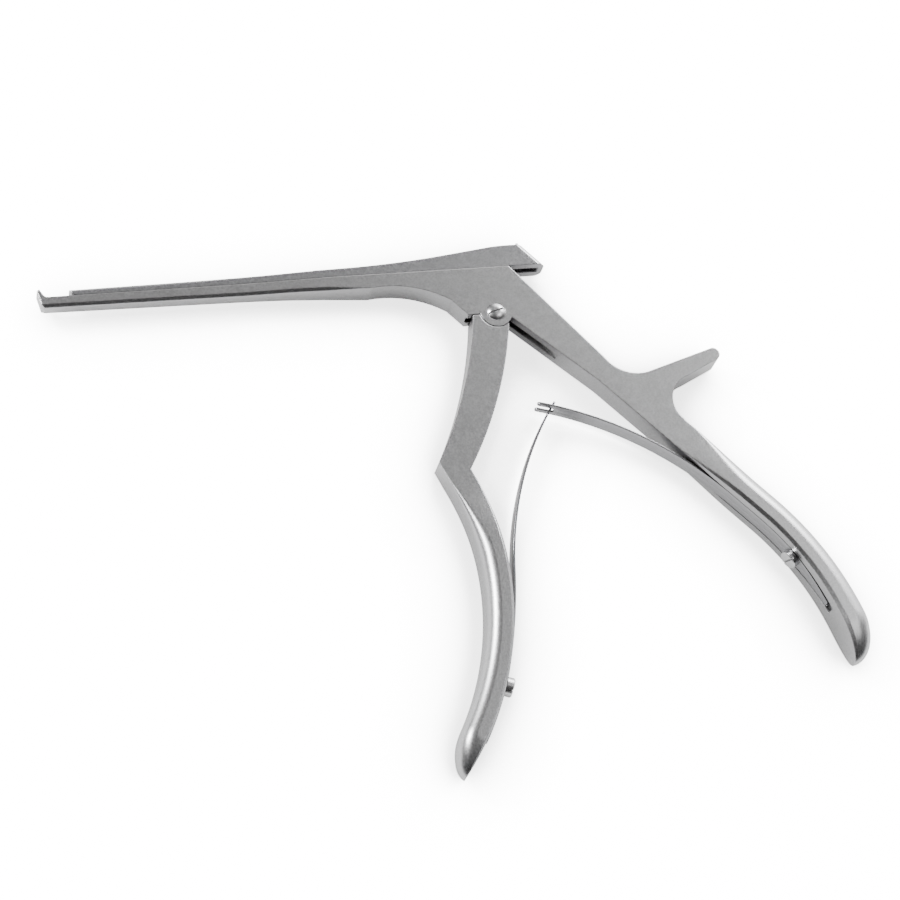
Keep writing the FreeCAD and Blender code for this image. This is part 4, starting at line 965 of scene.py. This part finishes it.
@dataclass(frozen=True)
class Studio:
    """Pale table, soft lamps and the camera at the photo's viewing angle.

    Attributes:
        camera_mm: Camera's place.
        right: Camera's right direction.
        back: Direction from the object to the camera.
        lens_mm: Its focal length.
        sensor_mm: Width of its sensor.
        sight: How far it sees, in metres.
        table_colour: The table's sRGB colour.
        table_roughness: How matt the table is.
        table_reach: Half the length of its sides, in metres.
        table_gap_mm: Gap left between the table and the lowest point of the object.
        table_glow: Radiance of the backlit table in the picture, burnt out to white.
        mirrored_glow: Radiance of the table as the steel mirrors it and is lit by it.
        shade_mm: Reach of the shade painted into the backlit table's glow round the object.
        shade_range: Openness at which that shade is deepest, and at which it ends.
        shade_left: Share of the glow that is left where it is deepest.
        bright_side: Direction of the tent's bright side.
        tent_stops: Share of a direction towards the bright side, and the tent's grey there.
        tent_strength: Radiance of the tent's white.
        lamps: The soft lamps.
        aim_mm: Middle of the instrument, which the lamps point at.
    """

    camera_mm: Place = (-190.8, -314.9, 631.7)
    right: Place = (0.968, -0.170, 0.187)
    back: Place = (-0.240, -0.385, 0.891)
    lens_mm: float = 93.24
    sensor_mm: float = 36.0
    sight: float = 20.0
    table_colour: str = "#C8C8C8"
    table_roughness: float = 0.9
    table_reach: float = 3.0
    table_gap_mm: float = 0.05
    table_glow: float = 26.0
    mirrored_glow: float = 3.1
    shade_mm: float = 26.0
    shade_range: tuple[float, float] = (0.6, 0.98)
    shade_left: float = 0.2
    bright_side: Place = (0.66, 0.74, 0.17)
    tent_stops: Profile = (
        (-0.52, 0.02),
        (-0.36, 0.1),
        (0.1, 0.1),
        (0.62, 0.15),
        (0.82, 0.8),
        (0.97, 5.0),
    )
    tent_strength: float = 1.4
    lamps: tuple[Lamp, ...] = (
        Lamp("narrow_box", (-680, 340, 600), 240, 24.0),
        Lamp("low_box", (620, 560, 460), 420, 10.0),
        Lamp("top_box", (450, -60, 800), 420, 2.2),
    )
    aim_mm: Place = (0, -50, 0)

    def camera(self) -> None:
        """Stand the camera where the photo was taken from."""
        data = bpy.data.cameras.new("photo_camera")
        data.lens = self.lens_mm
        data.sensor_width = self.sensor_mm
        data.clip_end = self.sight
        back = Vector(self.back).normalized()
        right = Vector(self.right)
        right = (right - back * right.dot(back)).normalized()
        up = back.cross(right)
        turn = Matrix((right, up, back)).transposed().to_4x4()
        made = bpy.data.objects.new("photo_camera", data)
        made.matrix_world = Matrix.Translation(Vector(self.camera_mm) * MM) @ turn
        bpy.context.scene.collection.objects.link(made)
        bpy.context.scene.camera = made

    def table(self, lowest: float) -> None:
        """Lay a wide pale table just under the object.

        It is backlit: burnt out to white for the camera and weaker for the steel, as the photo's
        background was cleared to white.

        Args:
            lowest: Height of the object's lowest point.
        """
        height = lowest - self.table_gap_mm * MM
        plan = self.table_reach * np.array([(-1, -1), (1, -1), (1, 1), (-1, 1)])
        corners = np.column_stack([plan, np.full(len(plan), height)])
        made = shaded_object("table", corners, [np.array([[0, 1, 2, 3]])])
        # A light table's sheet, matt and lit from below
        finish = bpy.data.materials.new("backlit white acrylic")
        finish.use_nodes = True
        tree = finish.node_tree
        shader = tree.nodes["Principled BSDF"]
        shader.inputs["Base Color"].default_value = linear(self.table_colour)
        shader.inputs["Roughness"].default_value = self.table_roughness
        shader.inputs["Emission Color"].default_value = linear(self.table_colour)
        # Painted shadow: the glow is dimmed where the object hems the table in
        reach = {"Distance": self.shade_mm * MM}
        contact = add_node(tree, "AmbientOcclusion", None, reach, samples=16)
        left = add_node(
            tree,
            "MapRange",
            {"Value": contact.outputs["AO"]},
            {
                "From Min": self.shade_range[0],
                "From Max": self.shade_range[1],
                "To Min": self.shade_left,
                "To Max": 1.0,
            },
        ).outputs["Result"]
        seen = add_node(tree, "LightPath").outputs["Is Camera Ray"]
        glows = {"To Min": self.mirrored_glow, "To Max": self.table_glow}
        glow = add_node(tree, "MapRange", {"Value": seen}, glows).outputs["Result"]
        shaded = add_node(tree, "Math", {0: left, 1: glow}, operation="MULTIPLY")
        tree.links.new(shaded.outputs["Value"], shader.inputs["Emission Strength"])
        made.data.materials.append(finish)
        made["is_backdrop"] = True

    def surroundings(self) -> None:
        """Wrap the room in a tent that brightens towards one low side, the way a window does.

        The share of a direction that points at the bright side, from -1 to 1, picks a grey from
        the stops; they are radiances.
        """
        world = bpy.data.worlds.new("studio_tent")
        world.use_nodes = True
        tree = world.node_tree
        tree.nodes.clear()
        outward = add_node(tree, "TexCoord").outputs["Generated"]
        share = add_node(
            tree, "VectorMath", {0: outward}, {1: self.bright_side}, operation="DOT_PRODUCT"
        ).outputs["Value"]
        whole = {"From Min": -1.0, "From Max": 1.0}
        place = add_node(tree, "MapRange", {"Value": share}, whole)
        greys = add_node(tree, "ValToRGB", {"Fac": place.outputs["Result"]})
        ramp = greys.color_ramp
        made_already = len(ramp.elements)
        for number, (at, radiance) in enumerate(self.tent_stops):
            place_on = (at + 1) / 2
            new = number >= made_already
            stop = ramp.elements.new(place_on) if new else ramp.elements[number]
            stop.position = place_on
            stop.color = (radiance, radiance, radiance, 1.0)
        tent = add_node(
            tree, "Background", {"Color": greys.outputs["Color"]}, {"Strength": self.tent_strength}
        )
        add_node(tree, "OutputWorld", {"Surface": tent.outputs["Background"]})
        bpy.context.scene.world = world

    def build(self, lowest: float) -> None:
        """Set up the whole studio under and round the object."""
        self.camera()
        self.table(lowest)
        for lamp in self.lamps:
            lamp.hang(self.aim_mm)
        self.surroundings()


# The instrument

# Inner faces of the two grips, as in the solids
REAR_FACE = FacePath(
    start=(45.766, -47.358),
    heading=-50.3,
    straight=36.9,
    radius=88.0,
    length=90.66,
    side=1,
)
FRONT_FACE = FacePath(
    start=(-17.4, -52.0),
    heading=-70.51,
    straight=0.0,
    radius=94.763,
    length=100.33,
    side=-1,
)

# The front leaf lies on a shallow flat, the rear one in a bed that follows its outline
FRONT_BED = Bed(
    depth=((48.8, 0.0), (48.85, 0.15), (87.5, 0.15), (87.55, 0.0)),
    near=((0.0, 3.0), (87.6, 3.0)),
    far=((0.0, 3.0), (87.6, 3.0)),
)
REAR_BED = Bed(
    depth=(
        (12.0, 0.0),
        (15.0, 0.35),
        (18.0, 0.64),
        (21.0, 0.84),
        (24.0, 0.96),
        (27.2, 1.0),
        (72.6, 1.0),
        (72.65, 0.0),
    ),
    near=((0.0, 3.35), (50.0, 3.35), (72.65, 2.4)),
    far=((0.0, 2.91), (50.7, 2.91), (70.7, 1.11), (72.65, 1.11)),
)
REAR_GRIP = Grip(
    node="body",
    body="frame",
    path=REAR_FACE,
    root=(52.842, -41.482),
    depth=9.2,
    edge=1.0,
    rounding=5.8,
    bed=REAR_BED,
)
FRONT_GRIP = Grip(
    node="front_handle",
    body="handle",
    path=FRONT_FACE,
    root=(-26.9, -49.2),
    depth=7.6,
    edge=0.7,
    rounding=4.3,
    bed=FRONT_BED,
)


@dataclass(frozen=True)
class Rongeur:
    """The whole instrument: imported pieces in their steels, the grips, the pin and the leaves.

    Attributes:
        finishes: Steel of each CAD node that is shown as packed.
        grips: Pieces whose grip is made here.
        pin: The slide's stop pin.
        leaves: The two leaf springs.
    """

    finishes: dict[str, Steel] = field(
        default_factory=lambda: {
            "upper_slide": GROUND_SLIDE,
            "pivot_screw": TURNED_SCREW,
            "rear_spring_screw": TURNED_SCREW,
            "front_spring_screw": TURNED_SCREW,
        }
    )
    grips: tuple[Grip, ...] = (REAR_GRIP, FRONT_GRIP)
    pin: StopPin = StopPin()
    leaves: tuple[LeafSpring, ...] = (
        LeafSpring(
            node="rear_spring",
            path=REAR_FACE,
            seat_low=70.66,
            seat_high=27.16,
            depth=0.45,
            bends=((113.4, 34.2),),
            end=LeafEnd.FORK,
            home="frame",
            away="handle",
            end_length=5.8,
        ),
        LeafSpring(
            node="front_spring",
            path=FRONT_FACE,
            seat_low=87.33,
            seat_high=62.83,
            depth=-0.23,
            bends=((168.9, 10.2), (112.1, -30.5)),
            end=LeafEnd.TONGUE,
            home="handle",
            away="frame",
            end_width=1.7,
        ),
    )

    def build(self) -> None:
        """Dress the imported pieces, and add the grips, the pin and the leaves."""
        for node, finish in self.finishes.items():
            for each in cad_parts[node].material_slots:
                each.link = "OBJECT"
                each.material = finish.material()
            LOG.info("%s: %s", node, finish.name)
        for grip in self.grips:
            grip.build(grip.finish.material())
            LOG.info("%s: %s with its grip", grip.node, grip.finish.name)
        self.pin.build()
        LOG.info("%s: %s", self.pin.node, self.pin.finish.name)
        for leaf in self.leaves:
            leaf.build()
            LOG.info("%s: %s ending in a %s", leaf.node, leaf.finish.name, leaf.end.value)


def main() -> None:
    logging.basicConfig(level=logging.INFO, format="%(name)s: %(message)s")
    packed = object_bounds()
    Rongeur().build()
    Studio().build(lowest=packed[0][2])


if __name__ == "__main__":
    main()
